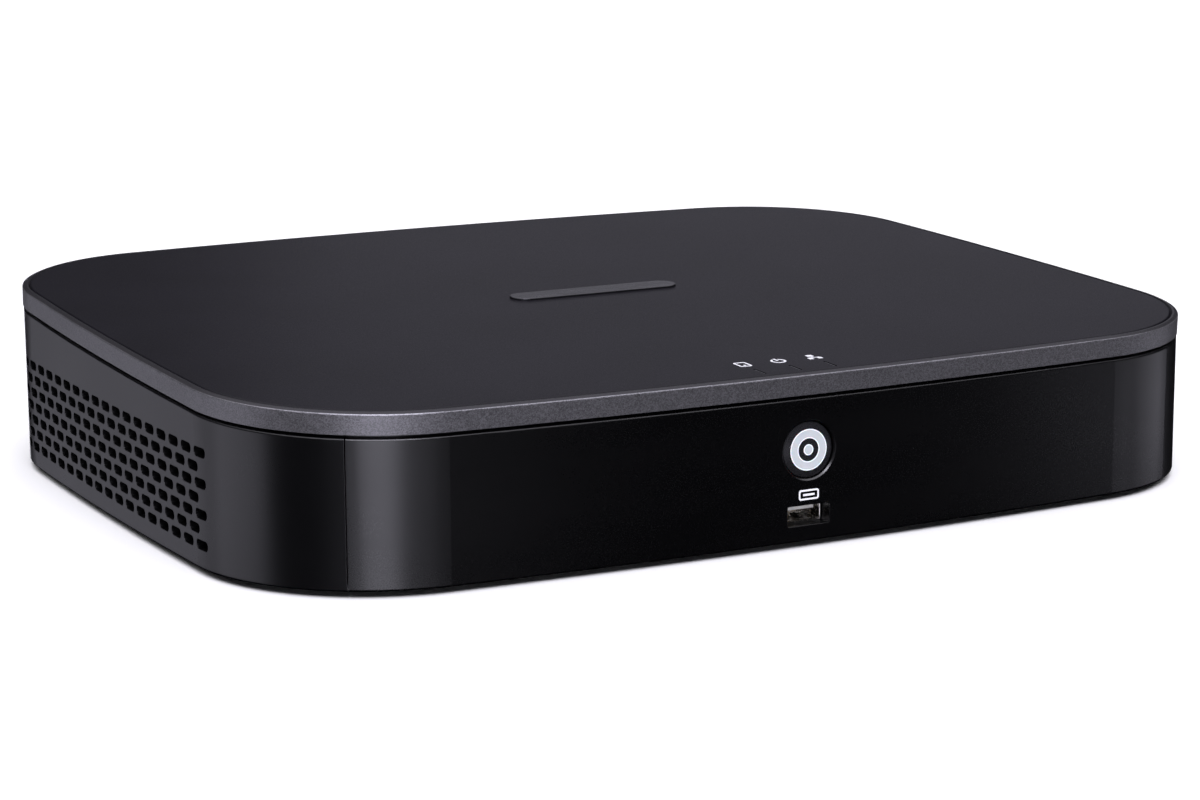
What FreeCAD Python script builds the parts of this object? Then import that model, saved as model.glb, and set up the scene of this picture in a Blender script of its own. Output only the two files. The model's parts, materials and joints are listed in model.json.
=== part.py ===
"""A desktop video recorder for security cameras, as the separate pieces it is built from.

Units are millimetres.  +X is to the right as the front is looked at, the front faces -Y
and +Z is up.  The origin is the middle of the footprint, on the plane the feet stand on.

The case is a rounded slab whose four sides bow outwards.  Its underside is level and its
lid slopes up towards the rear, so the case is a shallow wedge.
"""
import FreeCAD, Part
import math
import os

V = FreeCAD.Vector
RIGHT = V(1, 0, 0)
BACK = V(0, 1, 0)
UP = V(0, 0, 1)

# ---------------------------------------------------------------- driving dimensions
WIDTH = 325.0
DEPTH = 257.6
CORNER_R = 55.6
END_BOW = 8.1              # how far the front and the rear bulge past their ends
SIDE_BOW = 4.2
LID_SLOPE = 0.038          # rise of the lid per millimetre towards the rear
BODY_BOTTOM = 2.0          # lower edge of the case walls
SHELL_TOP = 43.0           # upper edge of the case walls, at the front
LID_GAP = 1.0              # open shadow line between the walls and the lid
BAND_H = 5.6               # upright band round the lid
CREST_RISE = 0.56          # the rim leans in above the band up to its crest
CREST_INSET = 1.24

SHELL_INSET = 0.25
WALL = 2.6
LIP_INSET = 2.8            # locating lip that stands up behind the lid's band
LIP_T = 1.4
LIP_UP = 2.6
LIP_DOWN = 4.0
LIP_ROUND = 0.6            # rounding of the walls' upper outer edge
SEAM_ANGLE = 33.0          # where the front fascia ends, round each front corner
SEAM_GAP = 0.15            # half the gap between the fascia and the shell

SLOT_W = 6.9               # side ventilation slots
SLOT_H = 2.75
SLOT_R = 1.25
SLOT_PITCH = 9.1
SLOT_ROW_PITCH = 4.33
SLOT_ROWS = 7
SLOTS_PER_ROW = 18
SLOT_FIRST_Y = -74.8
SLOT_TOP_Z = 34.75

BUTTON_Z = 28.2
BUTTON_HOLE_R = 8.35
BUTTON_R = 7.95
BUTTON_TRAVEL = 0.5
RING_OUTER_R = 5.95
RING_INNER_R = 3.3
DOT_R = 1.57

USB_Z = 9.5
USB_MOUTH_W = 13.9
USB_MOUTH_H = 5.85

ICON_X = 11.6              # pitch of the three indicator marks on the lid
ICON_Y = -111.3
SLIT_Y0 = -124.0
SLIT_Y1 = -117.4
SLIT_W = 0.8

PLATE_BOTTOM = 3.2         # steel base plate
PLATE_T = 1.0
PLATE_TOP = PLATE_BOTTOM + PLATE_T
POST_R = 4.25              # screw posts in the four corners
POST_REACH = 45.6          # from the centre of a corner's arc to its post
CASE_SCREW_R = 1.5

BOARD_Z = 9.2              # main board
BOARD_T = 1.6
BOARD_TOP = BOARD_Z + BOARD_T
PANEL_Y = 114.0            # outer face of the recessed rear panel
PANEL_T = 1.2
BAY_X = 116.0              # the opening in the rear wall that gives onto the panel
BAY_Z0 = 7.0
BAY_Z1 = 47.0
BAY_WALL = 2.0

LID_WALL = 2.4             # the lid's moulding: its skirt, its rim and the deck between
RIM_T = 1.8
DECK_LOW = 2.3
DECK_HIGH = 3.9
PANEL_INSET = 2.4
RIDGE_R = 0.4              # rounding where the band turns in to the rim
INK = 0.06                 # thickness of the printed marks

FRONT_BOARD_Y = -110.0
FRONT_BOARD_T = 1.6
FRONT_BOARD_HOLES = [(sx * 37, z) for sx in (-1, 1) for z in (11, 38)]
LAMP_Z = 42.6
RING_DEPTH = 0.8
USB_LEN = 14.1             # a USB socket's shell, and the tongue inside it
TONGUE_LEN = 12.2

FOOT_X = 118.0
FOOT_Y = 84.0
PANEL_SCREWS = [(sx * 111.5, z) for sx in (-1, 1) for z in (13, 41)]
BOARD_HOLES = [(-112, 74), (-112, -10), (18, -10), (18, 60), (112, 74), (-48, 74)]
BOARD_HALF = 118.0
BOARD_FRONT = -16.0
BOARD_STEP_X = 24.0        # the board is cut away in front of the drive's bay
BOARD_STEP_Y = 68.0
CPU_X, CPU_Y = -52.0, 26.0
CPU_SIZE = 27.0
CPU_H = 2.2
CELL_X, CELL_Y = -100.0, 14.0
CAPACITORS = [(91, 79, 4.0, 10.5), (101.5, 79, 4.0, 10.5), (112, 86, 4.0, 10.5), (102, 91, 3.15, 8.0),
              (-104, 40, 3.15, 8.0), (-104, 50, 3.15, 8.0), (10, 44, 3.15, 8.0), (10, 30, 2.5, 6.0)]

BNC_X = [-97.0, -79.0, -61.0, -43.0]
AUDIO_X = [-23.0, -8.0]
JACK_ROWS = [19.0, 37.0]
BNC_R = 4.85
BNC_NECK_R = 6.2
BNC_END_Y = 125.2
AUDIO_R = 4.15
AUDIO_NECK_R = 5.0
AUDIO_END_Y = 123.6
HOUSING_FRONT = 93.0
VGA_X, VGA_Z = 14.0, 18.0
HDMI_X, HDMI_Z = 42.5, 14.2
LAN_X, LAN_Z = 61.0, 17.6
REAR_USB_X, REAR_USB_Z = 79.5, 14.0
DC_X, DC_Z = 95.0, 17.0
GROUND_X, GROUND_Z = 96.0, 38.0

DRIVE_X = 30.0             # 3.5 inch disk drive, its lower left front corner
DRIVE_Y = -96.0
DRIVE_Z = 7.2
DRIVE_W = 101.6
DRIVE_L = 147.0
DRIVE_H = 26.1
DISC_R = 47.5
DISC_Z = 21.0
DISC_T = 1.27
CAVITY_Z = 12.0
ARM_LEN = 50.0
ARM_SWING = 35.0
PARK_ANGLE = 56.0          # between the parked arm and the line from its pivot to the disc's centre

FAN_SIZE = 40.0
FAN_T = 10.0
FAN_X = 146.6              # inner face of the fan
FAN_Y = 60.0
FAN_Z = 25.5

HEADER_Y = 80.0            # where the drive's leads meet the main board
RIBBON_X = -30.0
RIBBON_Z = 22.0
PLUG_H = 11.0
LEAD_TOP_Z = 37.0
RIBBON_TOP_Z = 33.0
LEAD_BEND_R = 4.5

# ---------------------------------------------------------------- derived dimensions
HALF_W = WIDTH / 2
HALF_D = DEPTH / 2
END_R = (HALF_W ** 2 + END_BOW ** 2) / (2 * END_BOW)
SIDE_R = (HALF_D ** 2 + SIDE_BOW ** 2) / (2 * SIDE_BOW)
END_CY = HALF_D - END_R            # centre of the rear wall's arc, on the Y axis
SIDE_CX = HALF_W - SIDE_R          # centre of the right wall's arc, on the X axis
BAND_BOTTOM = SHELL_TOP + LID_GAP
LID_ANGLE = math.degrees(math.atan(LID_SLOPE))
CREST = BAND_H + CREST_RISE
FAR = 200.0                        # half size of the tools that trim the case


def corner_centre():
    """Centre of the rear right corner's arc, tangent inside the rear and side arcs."""
    reach_end = END_R - CORNER_R
    reach_side = SIDE_R - CORNER_R
    span = math.hypot(SIDE_CX, END_CY)
    along = (reach_end ** 2 - reach_side ** 2 + span ** 2) / (2 * span)
    across = math.sqrt(reach_end ** 2 - along ** 2)
    ux, uy = SIDE_CX / span, -END_CY / span
    return ux * along + uy * across, END_CY + uy * along - ux * across


CORNER_X, CORNER_Y = corner_centre()
SIDE_ANGLE = math.atan2(CORNER_Y, CORNER_X - SIDE_CX)
END_ANGLE = math.atan2(CORNER_Y - END_CY, CORNER_X)
POST_X = CORNER_X + POST_REACH * math.cos(math.radians(45))
POST_Y = CORNER_Y + POST_REACH * math.sin(math.radians(45))


def front_wall_y(x, inset):
    return -END_CY - math.sqrt((END_R - inset) ** 2 - x ** 2)


FASCIA_FACE_Y = front_wall_y(0, SHELL_INSET)
FASCIA_INNER_Y = front_wall_y(0, SHELL_INSET + WALL)
CAP_FACE_Y = FASCIA_FACE_Y + 0.4
CAP_BACK_Y = FASCIA_INNER_Y + 1.9
SWITCH_FACE_Y = FRONT_BOARD_Y - 3.5
PLUNGER_TIP_Y = SWITCH_FACE_Y - BUTTON_TRAVEL - 1.0
HOUSING_BACK = PANEL_Y - PANEL_T
BOARD_BACK = HOUSING_BACK - 1.3
DRIVE_BACK = DRIVE_Y + DRIVE_L - 0.5
DRIVE_HOLES = [(DRIVE_X + DRIVE_W / 2 + sx * 47.625, DRIVE_Y + DRIVE_L - y)
               for sx in (-1, 1) for y in (41.28, 85.73)]
LID_Z = DRIVE_Z + DRIVE_H - 1.6
DISC_X = DRIVE_X + DRIVE_W / 2
DISC_Y = DRIVE_Y + 50.5
PIVOT_X = DISC_X + 8.0
PIVOT_Y = DISC_Y + 56.3
AIM = math.degrees(math.atan2(DISC_Y - PIVOT_Y, DISC_X - PIVOT_X))
PLUG_Z = DRIVE_Z + 4.4
PLUG_SPOTS = [(DRIVE_X + 44.25, 12.0), (DRIVE_X + 22.75, 22.0)]      # x and width, data then power
BOARD_HEADERS = [(PLUG_SPOTS[0][0], HEADER_Y, 16.5),
                 (PLUG_SPOTS[1][0], HEADER_Y, 12.5),
                 (RIBBON_X, -11.5, 14.0)]


# ---------------------------------------------------------------- shape helpers
def box(x0, x1, y0, y1, z0, z1):
    return Part.makeBox(x1 - x0, y1 - y0, z1 - z0, V(x0, y0, z0))


def rod(x, y, z, radius, length, axis=UP):
    return Part.makeCylinder(radius, length, V(x, y, z), axis)


def tube(x, y, z, outer, inner, length, axis=UP):
    return rod(x, y, z, outer, length, axis).cut(rod(x, y, z, inner, length, axis))


def polygon_prism(points, direction):
    wire = Part.makePolygon(points + [points[0]])
    return Part.Face(wire).extrude(direction)


def rounded_plate(width, height, radius, depth):
    """A rounded rectangle centred on the origin, standing up from z = 0."""
    edges = []
    for quarter in range(4):
        turn = math.radians(90 * quarter)
        flip = quarter % 2
        a = (height if flip else width) / 2
        b = (width if flip else height) / 2

        def spot(u, v):
            return V(u * math.cos(turn) - v * math.sin(turn), u * math.sin(turn) + v * math.cos(turn), 0)

        mid = radius * (1 - math.sqrt(0.5))
        edges.append(Part.makeLine(spot(a, radius - b), spot(a, b - radius)))
        edges.append(Part.Arc(spot(a, b - radius), spot(a - mid, b - mid), spot(a - radius, b)).toShape())
    return Part.Face(Part.Wire(edges)).extrude(V(0, 0, depth))


def facing_rear(shape, x, y, z):
    """Lay a shape that was built up from z = 0 so that it runs from y towards the rear."""
    laid = shape.copy()
    laid.rotate(V(0, 0, 0), RIGHT, -90)
    laid.translate(V(x, y, z))
    return laid


def facing_right(shape, x, y, z):
    """Lay a shape that was built up from z = 0 so that it runs from x towards the right."""
    laid = shape.copy()
    laid.rotate(V(0, 0, 0), BACK, 90)
    laid.translate(V(x, y, z))
    return laid


def hex_prism(across_flats, depth):
    radius = across_flats / math.sqrt(3)
    points = [V(radius * math.cos(math.radians(60 * k)), radius * math.sin(math.radians(60 * k)), 0)
              for k in range(6)]
    return polygon_prism(points, V(0, 0, depth))


def edges_where(shape, test):
    """The edges whose middle point passes a test."""
    chosen = []
    for edge in shape.Edges:
        middle = edge.valueAt((edge.FirstParameter + edge.LastParameter) / 2)
        if test(middle):
            chosen.append(edge)
    return chosen


def screw(x, y, z, shank_r, length, head_r, head_h, axis=UP):
    """A screw whose head seats at (x, y, z) and whose shank runs along axis."""
    recess_r = head_r * 0.5
    start = V(x, y, z) - axis * head_h
    head = Part.makeCylinder(head_r, head_h, start, axis)
    crown = edges_where(head, lambda p: (p - start).Length < head_r + 0.01 and abs((p - start) * axis) < 0.01)
    head = head.makeFillet(head_h * 0.35, crown)
    shank = Part.makeCylinder(shank_r, length, V(x, y, z), axis)
    side = axis.cross(V(0.3, 0.5, 0.8))
    side.normalize()
    other = axis.cross(side)
    cross = []
    for arm, across in ((side, other), (other, side)):
        corner = start - arm * recess_r - across * recess_r * 0.22
        points = [corner, corner + arm * recess_r * 2, corner + arm * recess_r * 2 + across * recess_r * 0.44,
                  corner + across * recess_r * 0.44]
        cross.append(polygon_prism(points, axis * head_h * 0.6))
    return head.fuse(shank).cut(cross)


def save(name, *solids):
    """Write one piece, or a group of separate identical pieces, as one file."""
    shape = solids[0] if len(solids) == 1 else Part.makeCompound(list(solids))
    shape.exportStep("parts/" + name + ".step")


# ---------------------------------------------------------------- case outline
def arc(cx, cy, radius, start, end, z):
    spots = [V(cx + radius * math.cos(a), cy + radius * math.sin(a), z)
             for a in (start, (start + end) / 2, end)]
    return Part.Arc(*spots).toShape()


def outline(inset, z):
    """The case's plan, four shallow arcs and four round corners, moved in by inset."""
    edges = []
    for side in range(4):
        half_turn = math.pi if side >= 2 else 0.0
        sign = -1 if side >= 2 else 1
        if side % 2 == 0:
            edges.append(arc(sign * SIDE_CX, 0, SIDE_R - inset,
                             half_turn - SIDE_ANGLE, half_turn + SIDE_ANGLE, z))
            edges.append(arc(sign * CORNER_X, sign * CORNER_Y, CORNER_R - inset,
                             half_turn + SIDE_ANGLE, half_turn + END_ANGLE, z))
        else:
            edges.append(arc(0, sign * END_CY, END_R - inset,
                             half_turn + END_ANGLE, half_turn + math.pi - END_ANGLE, z))
            edges.append(arc(-sign * CORNER_X, sign * CORNER_Y, CORNER_R - inset,
                             half_turn + math.pi - END_ANGLE, half_turn + math.pi - SIDE_ANGLE, z))
    return Part.Wire(edges)


def slab(inset, z0, z1):
    return Part.Face(outline(inset, z0)).extrude(V(0, 0, z1 - z0))


def ring(outer_inset, inner_inset, z0, z1):
    return slab(outer_inset, z0, z1).cut(slab(inner_inset, z0, z1))


def inset_at(x, y):
    """How far a point of the plan lies inside the outline."""
    x, y = abs(x), abs(y)
    if math.atan2(y, x - SIDE_CX) <= SIDE_ANGLE:
        return SIDE_R - math.hypot(x - SIDE_CX, y)
    if math.atan2(y - END_CY, x) >= END_ANGLE:
        return END_R - math.hypot(x, y - END_CY)
    return CORNER_R - math.hypot(x - CORNER_X, y - CORNER_Y)


def lid_plane(z_front, y):
    """Height of a plane parallel to the lid, given its height at the front."""
    return z_front + LID_SLOPE * (y + HALF_D)


def under_slope(z_front):
    """All the space below a plane parallel to the lid."""
    low, high = lid_plane(z_front, -FAR), lid_plane(z_front, FAR)
    points = [V(-FAR, -FAR, -FAR), V(-FAR, FAR, -FAR), V(-FAR, FAR, high), V(-FAR, -FAR, low)]
    return polygon_prism(points, V(2 * FAR, 0, 0))


def tilt(shape):
    """Carry a piece of the lid, built level above z = 0, to its sloping place."""
    placed = shape.copy()
    placed.rotate(V(0, 0, 0), RIGHT, LID_ANGLE)
    placed.translate(V(0, 0, lid_plane(BAND_BOTTOM, 0)))
    return placed


# ---------------------------------------------------------------- case walls
def seam_region(extra_degrees, z0, z1):
    """The space in front of a line that leaves each front corner's centre at the seam."""
    angle = math.radians(SEAM_ANGLE + extra_degrees)
    out = 1.5 * CORNER_R
    x_far = CORNER_X + out * math.sin(angle)
    y_far = -CORNER_Y - out * math.cos(angle)
    points = [V(-CORNER_X, -CORNER_Y, z0), V(-x_far, y_far, z0), V(-x_far, -FAR, z0),
              V(x_far, -FAR, z0), V(x_far, y_far, z0), V(CORNER_X, -CORNER_Y, z0)]
    return polygon_prism(points, V(0, 0, z1 - z0))


def case_wall():
    """The whole wall as one ring, with its outer edges rounded and its locating lip."""
    block = slab(SHELL_INSET, BODY_BOTTOM, 70).common(under_slope(SHELL_TOP))

    def outer(point):
        return abs(inset_at(point.x, point.y) - SHELL_INSET) < 0.02

    upper = edges_where(block, lambda p: outer(p) and abs(p.z - lid_plane(SHELL_TOP, p.y)) < 0.05)
    block = block.makeFillet(LIP_ROUND, upper)
    lower = edges_where(block, lambda p: outer(p) and abs(p.z - BODY_BOTTOM) < 0.01)
    wall = block.makeFillet(0.6, lower).cut(slab(SHELL_INSET + WALL, 0, 90))
    lip = ring(LIP_INSET, LIP_INSET + LIP_T, 30, 80)
    lip = lip.common(under_slope(SHELL_TOP + LIP_UP)).cut(under_slope(SHELL_TOP - LIP_DOWN))
    return wall.fuse(lip)


def side_slots():
    """The rows of slots in both side walls; every other row is moved half a pitch."""
    slots = []
    for row in range(SLOT_ROWS):
        odd = row % 2
        z = SLOT_TOP_Z - row * SLOT_ROW_PITCH
        for k in range(SLOTS_PER_ROW - odd):
            y = SLOT_FIRST_Y + (k + odd / 2) * SLOT_PITCH
            slot = rounded_plate(SLOT_H, SLOT_W, SLOT_R, 2 * HALF_W + 20)
            slots.append(facing_right(slot, -HALF_W - 10, y, z))
    return slots


def corner_posts():
    """Four screw posts, each tied to its corner's wall by a rib."""
    posts = []
    for sx in (-1, 1):
        for sy in (-1, 1):
            top = lid_plane(SHELL_TOP - 6, sy * POST_Y)
            post = rod(sx * POST_X, sy * POST_Y, PLATE_TOP, POST_R, top - PLATE_TOP)
            rib = box(0, CORNER_R - POST_REACH - 1.5, -1, 1, PLATE_TOP, top - 4)
            rib.rotate(V(0, 0, 0), UP, math.degrees(math.atan2(sy, sx)))
            rib.translate(V(sx * POST_X, sy * POST_Y, 0))
            hole = rod(sx * POST_X, sy * POST_Y, 0, CASE_SCREW_R + 0.2, 80)
            posts.append(post.fuse(rib).cut(hole))
    return posts


def connector_bay():
    """The tunnel from the rear wall's opening in to the recessed panel."""
    outer = box(-BAY_X - BAY_WALL, BAY_X + BAY_WALL, PANEL_Y, HALF_D, BAY_Z0 - BAY_WALL, BAY_Z1 + BAY_WALL)
    outer = outer.common(slab(SHELL_INSET + 1, 0, 80))
    return outer.cut(box(-BAY_X, BAY_X, PANEL_Y - 1, HALF_D + 1, BAY_Z0, BAY_Z1))


def fan_cradle():
    """Two ribbed pockets on the right wall that the fan pushes into."""
    ribs = []
    reach = FAN_SIZE / 2 + 0.1
    for side in (-1, 1):
        y_near = FAN_Y + side * reach
        y_far = y_near + side * 2
        ribs.append(box(FAN_X - 1.5, HALF_W, min(y_near, y_far), max(y_near, y_far), 12, 38))
        y_hook = y_near - side * 2
        ribs.append(box(FAN_X - 1.5, FAN_X - 0.1, min(y_hook, y_far), max(y_hook, y_far), 12, 38))
    cradle = [rib.common(slab(SHELL_INSET + 1, 0, 80)) for rib in ribs]
    return cradle[0].fuse(cradle[1:])


def lower_shell():
    shell = case_wall().cut(seam_region(0, -5, 90))
    shell = shell.fuse([connector_bay(), fan_cradle()] + corner_posts())
    for sx in (-1, 1):
        for sy in (-1, 1):
            shell = shell.cut(rod(sx * POST_X, sy * POST_Y, 0, CASE_SCREW_R + 0.2, 80))
    window = box(-BAY_X, BAY_X, PANEL_Y - 1, HALF_D + 5, BAY_Z0, BAY_Z1)
    return shell.cut([window] + side_slots()).removeSplitter()


def front_fascia():
    """The front wall, with the button's guide, the USB mouth and the board's posts."""
    gap_degrees = math.degrees(SEAM_GAP * 2 / CORNER_R)
    region = seam_region(-gap_degrees, -5, 90)
    fascia = case_wall().common(region)
    overlap = ring(LIP_INSET + 0.3, LIP_INSET + 1.6, 8, 36).common(seam_region(5, 0, 90))
    bridge = ring(LIP_INSET - 0.05, LIP_INSET + 0.4, 8, 36).common(region)
    inner = seam_region(-6, 0, 90)
    adds = [overlap.cut(inner), bridge.cut(inner)]
    adds.append(tube(0, FASCIA_INNER_Y - 0.1, BUTTON_Z, 11.4, 9.9, 4, BACK))
    for x, z in FRONT_BOARD_HOLES:
        start = front_wall_y(x, SHELL_INSET + WALL) - 0.1
        adds.append(tube(x, start, z, 3.0, 1.25, FRONT_BOARD_Y - start, BACK))
    sleeve = rounded_plate(USB_MOUTH_W + 3, USB_MOUTH_H + 2.4, 1.0, 4.4)
    adds.append(facing_rear(sleeve, 0, FASCIA_FACE_Y + 0.5, USB_Z))
    fascia = fascia.fuse(adds)
    mouth = facing_rear(rounded_plate(USB_MOUTH_W, USB_MOUTH_H, 0.5, 12), 0, FASCIA_FACE_Y - 2, USB_Z)
    hole = rod(0, FASCIA_FACE_Y - 2, BUTTON_Z, BUTTON_HOLE_R, 8, BACK)
    flare = Part.makeCone(BUTTON_HOLE_R + 1.0, BUTTON_HOLE_R, 1.0, V(0, FASCIA_FACE_Y - 0.55, BUTTON_Z), BACK)
    return fascia.cut([mouth, hole, flare]).removeSplitter()


# ---------------------------------------------------------------- base and rear panel
def base_plate():
    """The steel base: raised seats for the drive, ears for the rear panel, vent slots."""
    plate = slab(SHELL_INSET + WALL + 0.4, PLATE_BOTTOM, PLATE_TOP)
    adds = [tube(x, y, PLATE_TOP, 6.0, 1.8, DRIVE_Z - PLATE_TOP) for x, y in DRIVE_HOLES]
    for sx in (-1, 1):
        ear = box(-6, 6, PANEL_Y - PANEL_T - 1.0, PANEL_Y - PANEL_T, PLATE_TOP, 46)
        ear.translate(V(sx * PANEL_SCREWS[-1][0], 0, 0))
        adds.append(ear)
    cuts = [rod(x, y, 0, 1.8, 10) for x, y in DRIVE_HOLES]
    cuts += [rod(sx * POST_X, sy * POST_Y, 0, CASE_SCREW_R + 0.3, 10) for sx in (-1, 1) for sy in (-1, 1)]
    cuts += [rod(x, PANEL_Y - 6, z, 1.35, 8, BACK) for x, z in PANEL_SCREWS]
    for row in range(3):
        for k in range(8):
            slot = rounded_plate(3, 14, 1.49, 6)
            slot.translate(V(-96 + k * 8, -70 + row * 20, PLATE_BOTTOM - 1))
            cuts.append(slot)
    return plate.fuse(adds).cut(cuts).removeSplitter()


def through_panel(shape, x, z):
    return facing_rear(shape, x, PANEL_Y - PANEL_T - 2, z)


def rear_panel():
    """The flat steel panel, with a cut-out for each connector and a field of vent holes."""
    top = lid_plane(SHELL_TOP, PANEL_Y) - 2
    panel = box(-121, 121, PANEL_Y - PANEL_T, PANEL_Y, PLATE_TOP, top)
    cuts = [rod(x, PANEL_Y - 4, z, BNC_NECK_R + 0.15, 8, BACK) for x in BNC_X for z in JACK_ROWS]
    cuts += [rod(x, PANEL_Y - 4, z, AUDIO_NECK_R + 0.15, 8, BACK) for x in AUDIO_X for z in JACK_ROWS]
    cuts.append(through_panel(rounded_plate(19.4, 10.8, 2.5, 6), VGA_X, VGA_Z))
    cuts += [rod(VGA_X + side * 12.5, PANEL_Y - 4, VGA_Z, 2.0, 8, BACK) for side in (-1, 1)]
    cuts.append(through_panel(rounded_plate(15.6, 6.6, 1.0, 6), HDMI_X, HDMI_Z))
    cuts.append(through_panel(rounded_plate(16.4, 13.8, 0.5, 6), LAN_X, LAN_Z))
    cuts.append(through_panel(rounded_plate(14.6, 7.2, 0.5, 6), REAR_USB_X, REAR_USB_Z))
    cuts.append(through_panel(rounded_plate(9.4, 12.6, 0.5, 6), DC_X, DC_Z - 0.2))
    cuts += [rod(x, PANEL_Y - 4, z, 1.7, 8, BACK) for x, z in PANEL_SCREWS]
    cuts.append(rod(GROUND_X, PANEL_Y - 4, GROUND_Z, 1.55, 8, BACK))
    for row in range(4):
        for k in range(14):
            x = 10 + k * 5.2 + (row % 2) * 2.6
            cuts.append(rod(x, PANEL_Y - 4, 31.0 + row * 4.2, 1.4, 8, BACK))
    return panel.cut(cuts)


def rubber_feet():
    feet = []
    for sx in (-1, 1):
        for sy in (-1, 1):
            foot = Part.makeCone(7.6, 8.6, PLATE_BOTTOM)
            foot = foot.makeFillet(0.7, edges_where(foot, lambda p: p.z < 0.01))
            foot = foot.cut(Part.makeCone(3.4, 2.6, 0.8))
            foot.translate(V(sx * FOOT_X, sy * FOOT_Y, 0))
            feet.append(foot)
    return feet


def case_screws():
    """Long screws that clamp the plate, the shell and the lid together."""
    screws = []
    for sx in (-1, 1):
        for sy in (-1, 1):
            length = lid_plane(SHELL_TOP - 6, sy * POST_Y) + 7 - PLATE_BOTTOM
            screws.append(screw(sx * POST_X, sy * POST_Y, PLATE_BOTTOM, CASE_SCREW_R, length, 3.2, 1.9))
    return screws


def rear_panel_screws():
    return [screw(x, PANEL_Y, z, 1.3, 4.5, 2.7, 1.7, V(0, -1, 0)) for x, z in PANEL_SCREWS]


def ground_screw():
    washer = tube(GROUND_X, PANEL_Y, GROUND_Z, 4.2, 1.6, 0.8, BACK)
    return [washer, screw(GROUND_X, PANEL_Y + 0.8, GROUND_Z, 1.5, 7, 3.1, 2.2, V(0, -1, 0))]


# ---------------------------------------------------------------- lid
def slit_plate(width, length, z0, z1):
    """One bar for each indicator slit, in the lid's own level frame."""
    bars = []
    for k in (-1, 0, 1):
        bar = rounded_plate(width, length, width * 0.49, z1 - z0)
        bar.translate(V(k * ICON_X, (SLIT_Y0 + SLIT_Y1) / 2, z0))
        bars.append(bar)
    return bars


def cover_frame():
    """The lid's moulding: upright band, leaning rim, deck and the four screw bosses."""
    skirt = slab(0, 0, BAND_H).cut(slab(LID_WALL, 0, DECK_LOW))
    rim = Part.makeLoft([outline(0, BAND_H), outline(CREST_INSET, CREST)], True, True)
    frame = skirt.fuse(rim).removeSplitter()
    ridge = edges_where(frame, lambda p: abs(p.z - BAND_H) < 0.01 and abs(inset_at(p.x, p.y)) < 0.02)
    frame = frame.makeFillet(RIDGE_R, ridge).cut(slab(RIM_T, DECK_HIGH, CREST + 1))
    frame = tilt(frame.cut(slit_plate(SLIT_W, SLIT_Y1 - SLIT_Y0, 0, CREST)))
    for sx in (-1, 1):
        for sy in (-1, 1):
            x, y = sx * POST_X, sy * POST_Y
            low = lid_plane(SHELL_TOP - 6, y) + 0.3
            high = lid_plane(BAND_BOTTOM + DECK_LOW, y) + 0.8
            frame = frame.fuse(rod(x, y, low, 3.7, high - low))
            frame = frame.cut(rod(x, y, low - 1, CASE_SCREW_R + 0.05, 9))
    return frame.removeSplitter()


def top_panel():
    """The thin inlay that covers the deck inside the rim."""
    panel = slab(PANEL_INSET, DECK_HIGH, CREST)
    rim = edges_where(panel, lambda p: abs(p.z - CREST) < 0.01)
    panel = panel.makeFillet(0.7, rim)
    return tilt(panel.cut(slit_plate(SLIT_W, SLIT_Y1 - SLIT_Y0, 0, CREST + 1)))


def badge():
    """A blank raised nameplate in the middle of the lid."""
    plate = rounded_plate(58, 9.6, 4.7, 0.7)
    plate = plate.makeFillet(0.25, edges_where(plate, lambda p: p.z > 0.69))
    plate.translate(V(0, 0, CREST))
    return tilt(plate)


def light_pipes():
    """Clear guides that carry each indicator lamp's light up to its slit."""
    pipes = []
    for k in (-1, 0, 1):
        blade = rounded_plate(SLIT_W - 0.1, SLIT_Y1 - SLIT_Y0 - 0.2, SLIT_W * 0.4, CREST - 0.2 - 1.5)
        blade.translate(V(k * ICON_X, (SLIT_Y0 + SLIT_Y1) / 2, 1.5))
        blade = tilt(blade)
        x = k * ICON_X
        low = LAMP_Z - 1.4
        under = lid_plane(BAND_BOTTOM + DECK_LOW, SLIT_Y0) - 0.1
        stem = box(x - 1, x + 1, SLIT_Y0 + 0.2, SLIT_Y1, low, under)
        arm = box(x - 1, x + 1, SLIT_Y1 - 0.1, FRONT_BOARD_Y - 1.6, low, low + 2.8)
        pipes.append(blade.fuse([stem, arm]).removeSplitter())
    return pipes


def drive_mark():
    frame = rounded_plate(3.9, 5.2, 0.8, INK)
    window = rounded_plate(2.7, 4.0, 0.4, INK)
    spot = rod(0, -1.1, 0, 0.45, INK)
    return [frame.cut(window), spot]


def power_mark():
    circle = tube(0, -0.3, 0, 2.3, 1.65, INK)
    gap = box(-0.85, 0.85, 0, 4, -1, 1)
    bar = box(-0.33, 0.33, 0.1, 2.5, 0, INK)
    return [circle.cut(gap), bar]


def network_mark():
    hub = box(-1.0, 1.0, 0.8, 2.6, 0, INK)
    stalk = box(-0.2, 0.2, -0.6, 0.8, 0, INK)
    rail = box(-1.8, 1.8, -0.8, -0.4, 0, INK)
    leaves = [box(x - 0.7, x + 0.7, -2.3, -0.7, 0, INK) for x in (-1.5, 1.5)]
    return [hub.fuse([stalk, rail] + leaves)]


def indicator_marks():
    """Printed pictures of a disk, a power switch and a network, one behind each slit."""
    marks = []
    for k, pieces in ((-1, drive_mark()), (0, power_mark()), (1, network_mark())):
        for piece in pieces:
            piece.translate(V(k * ICON_X, ICON_Y, CREST))
            marks.append(tilt(piece))
    return marks


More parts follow.
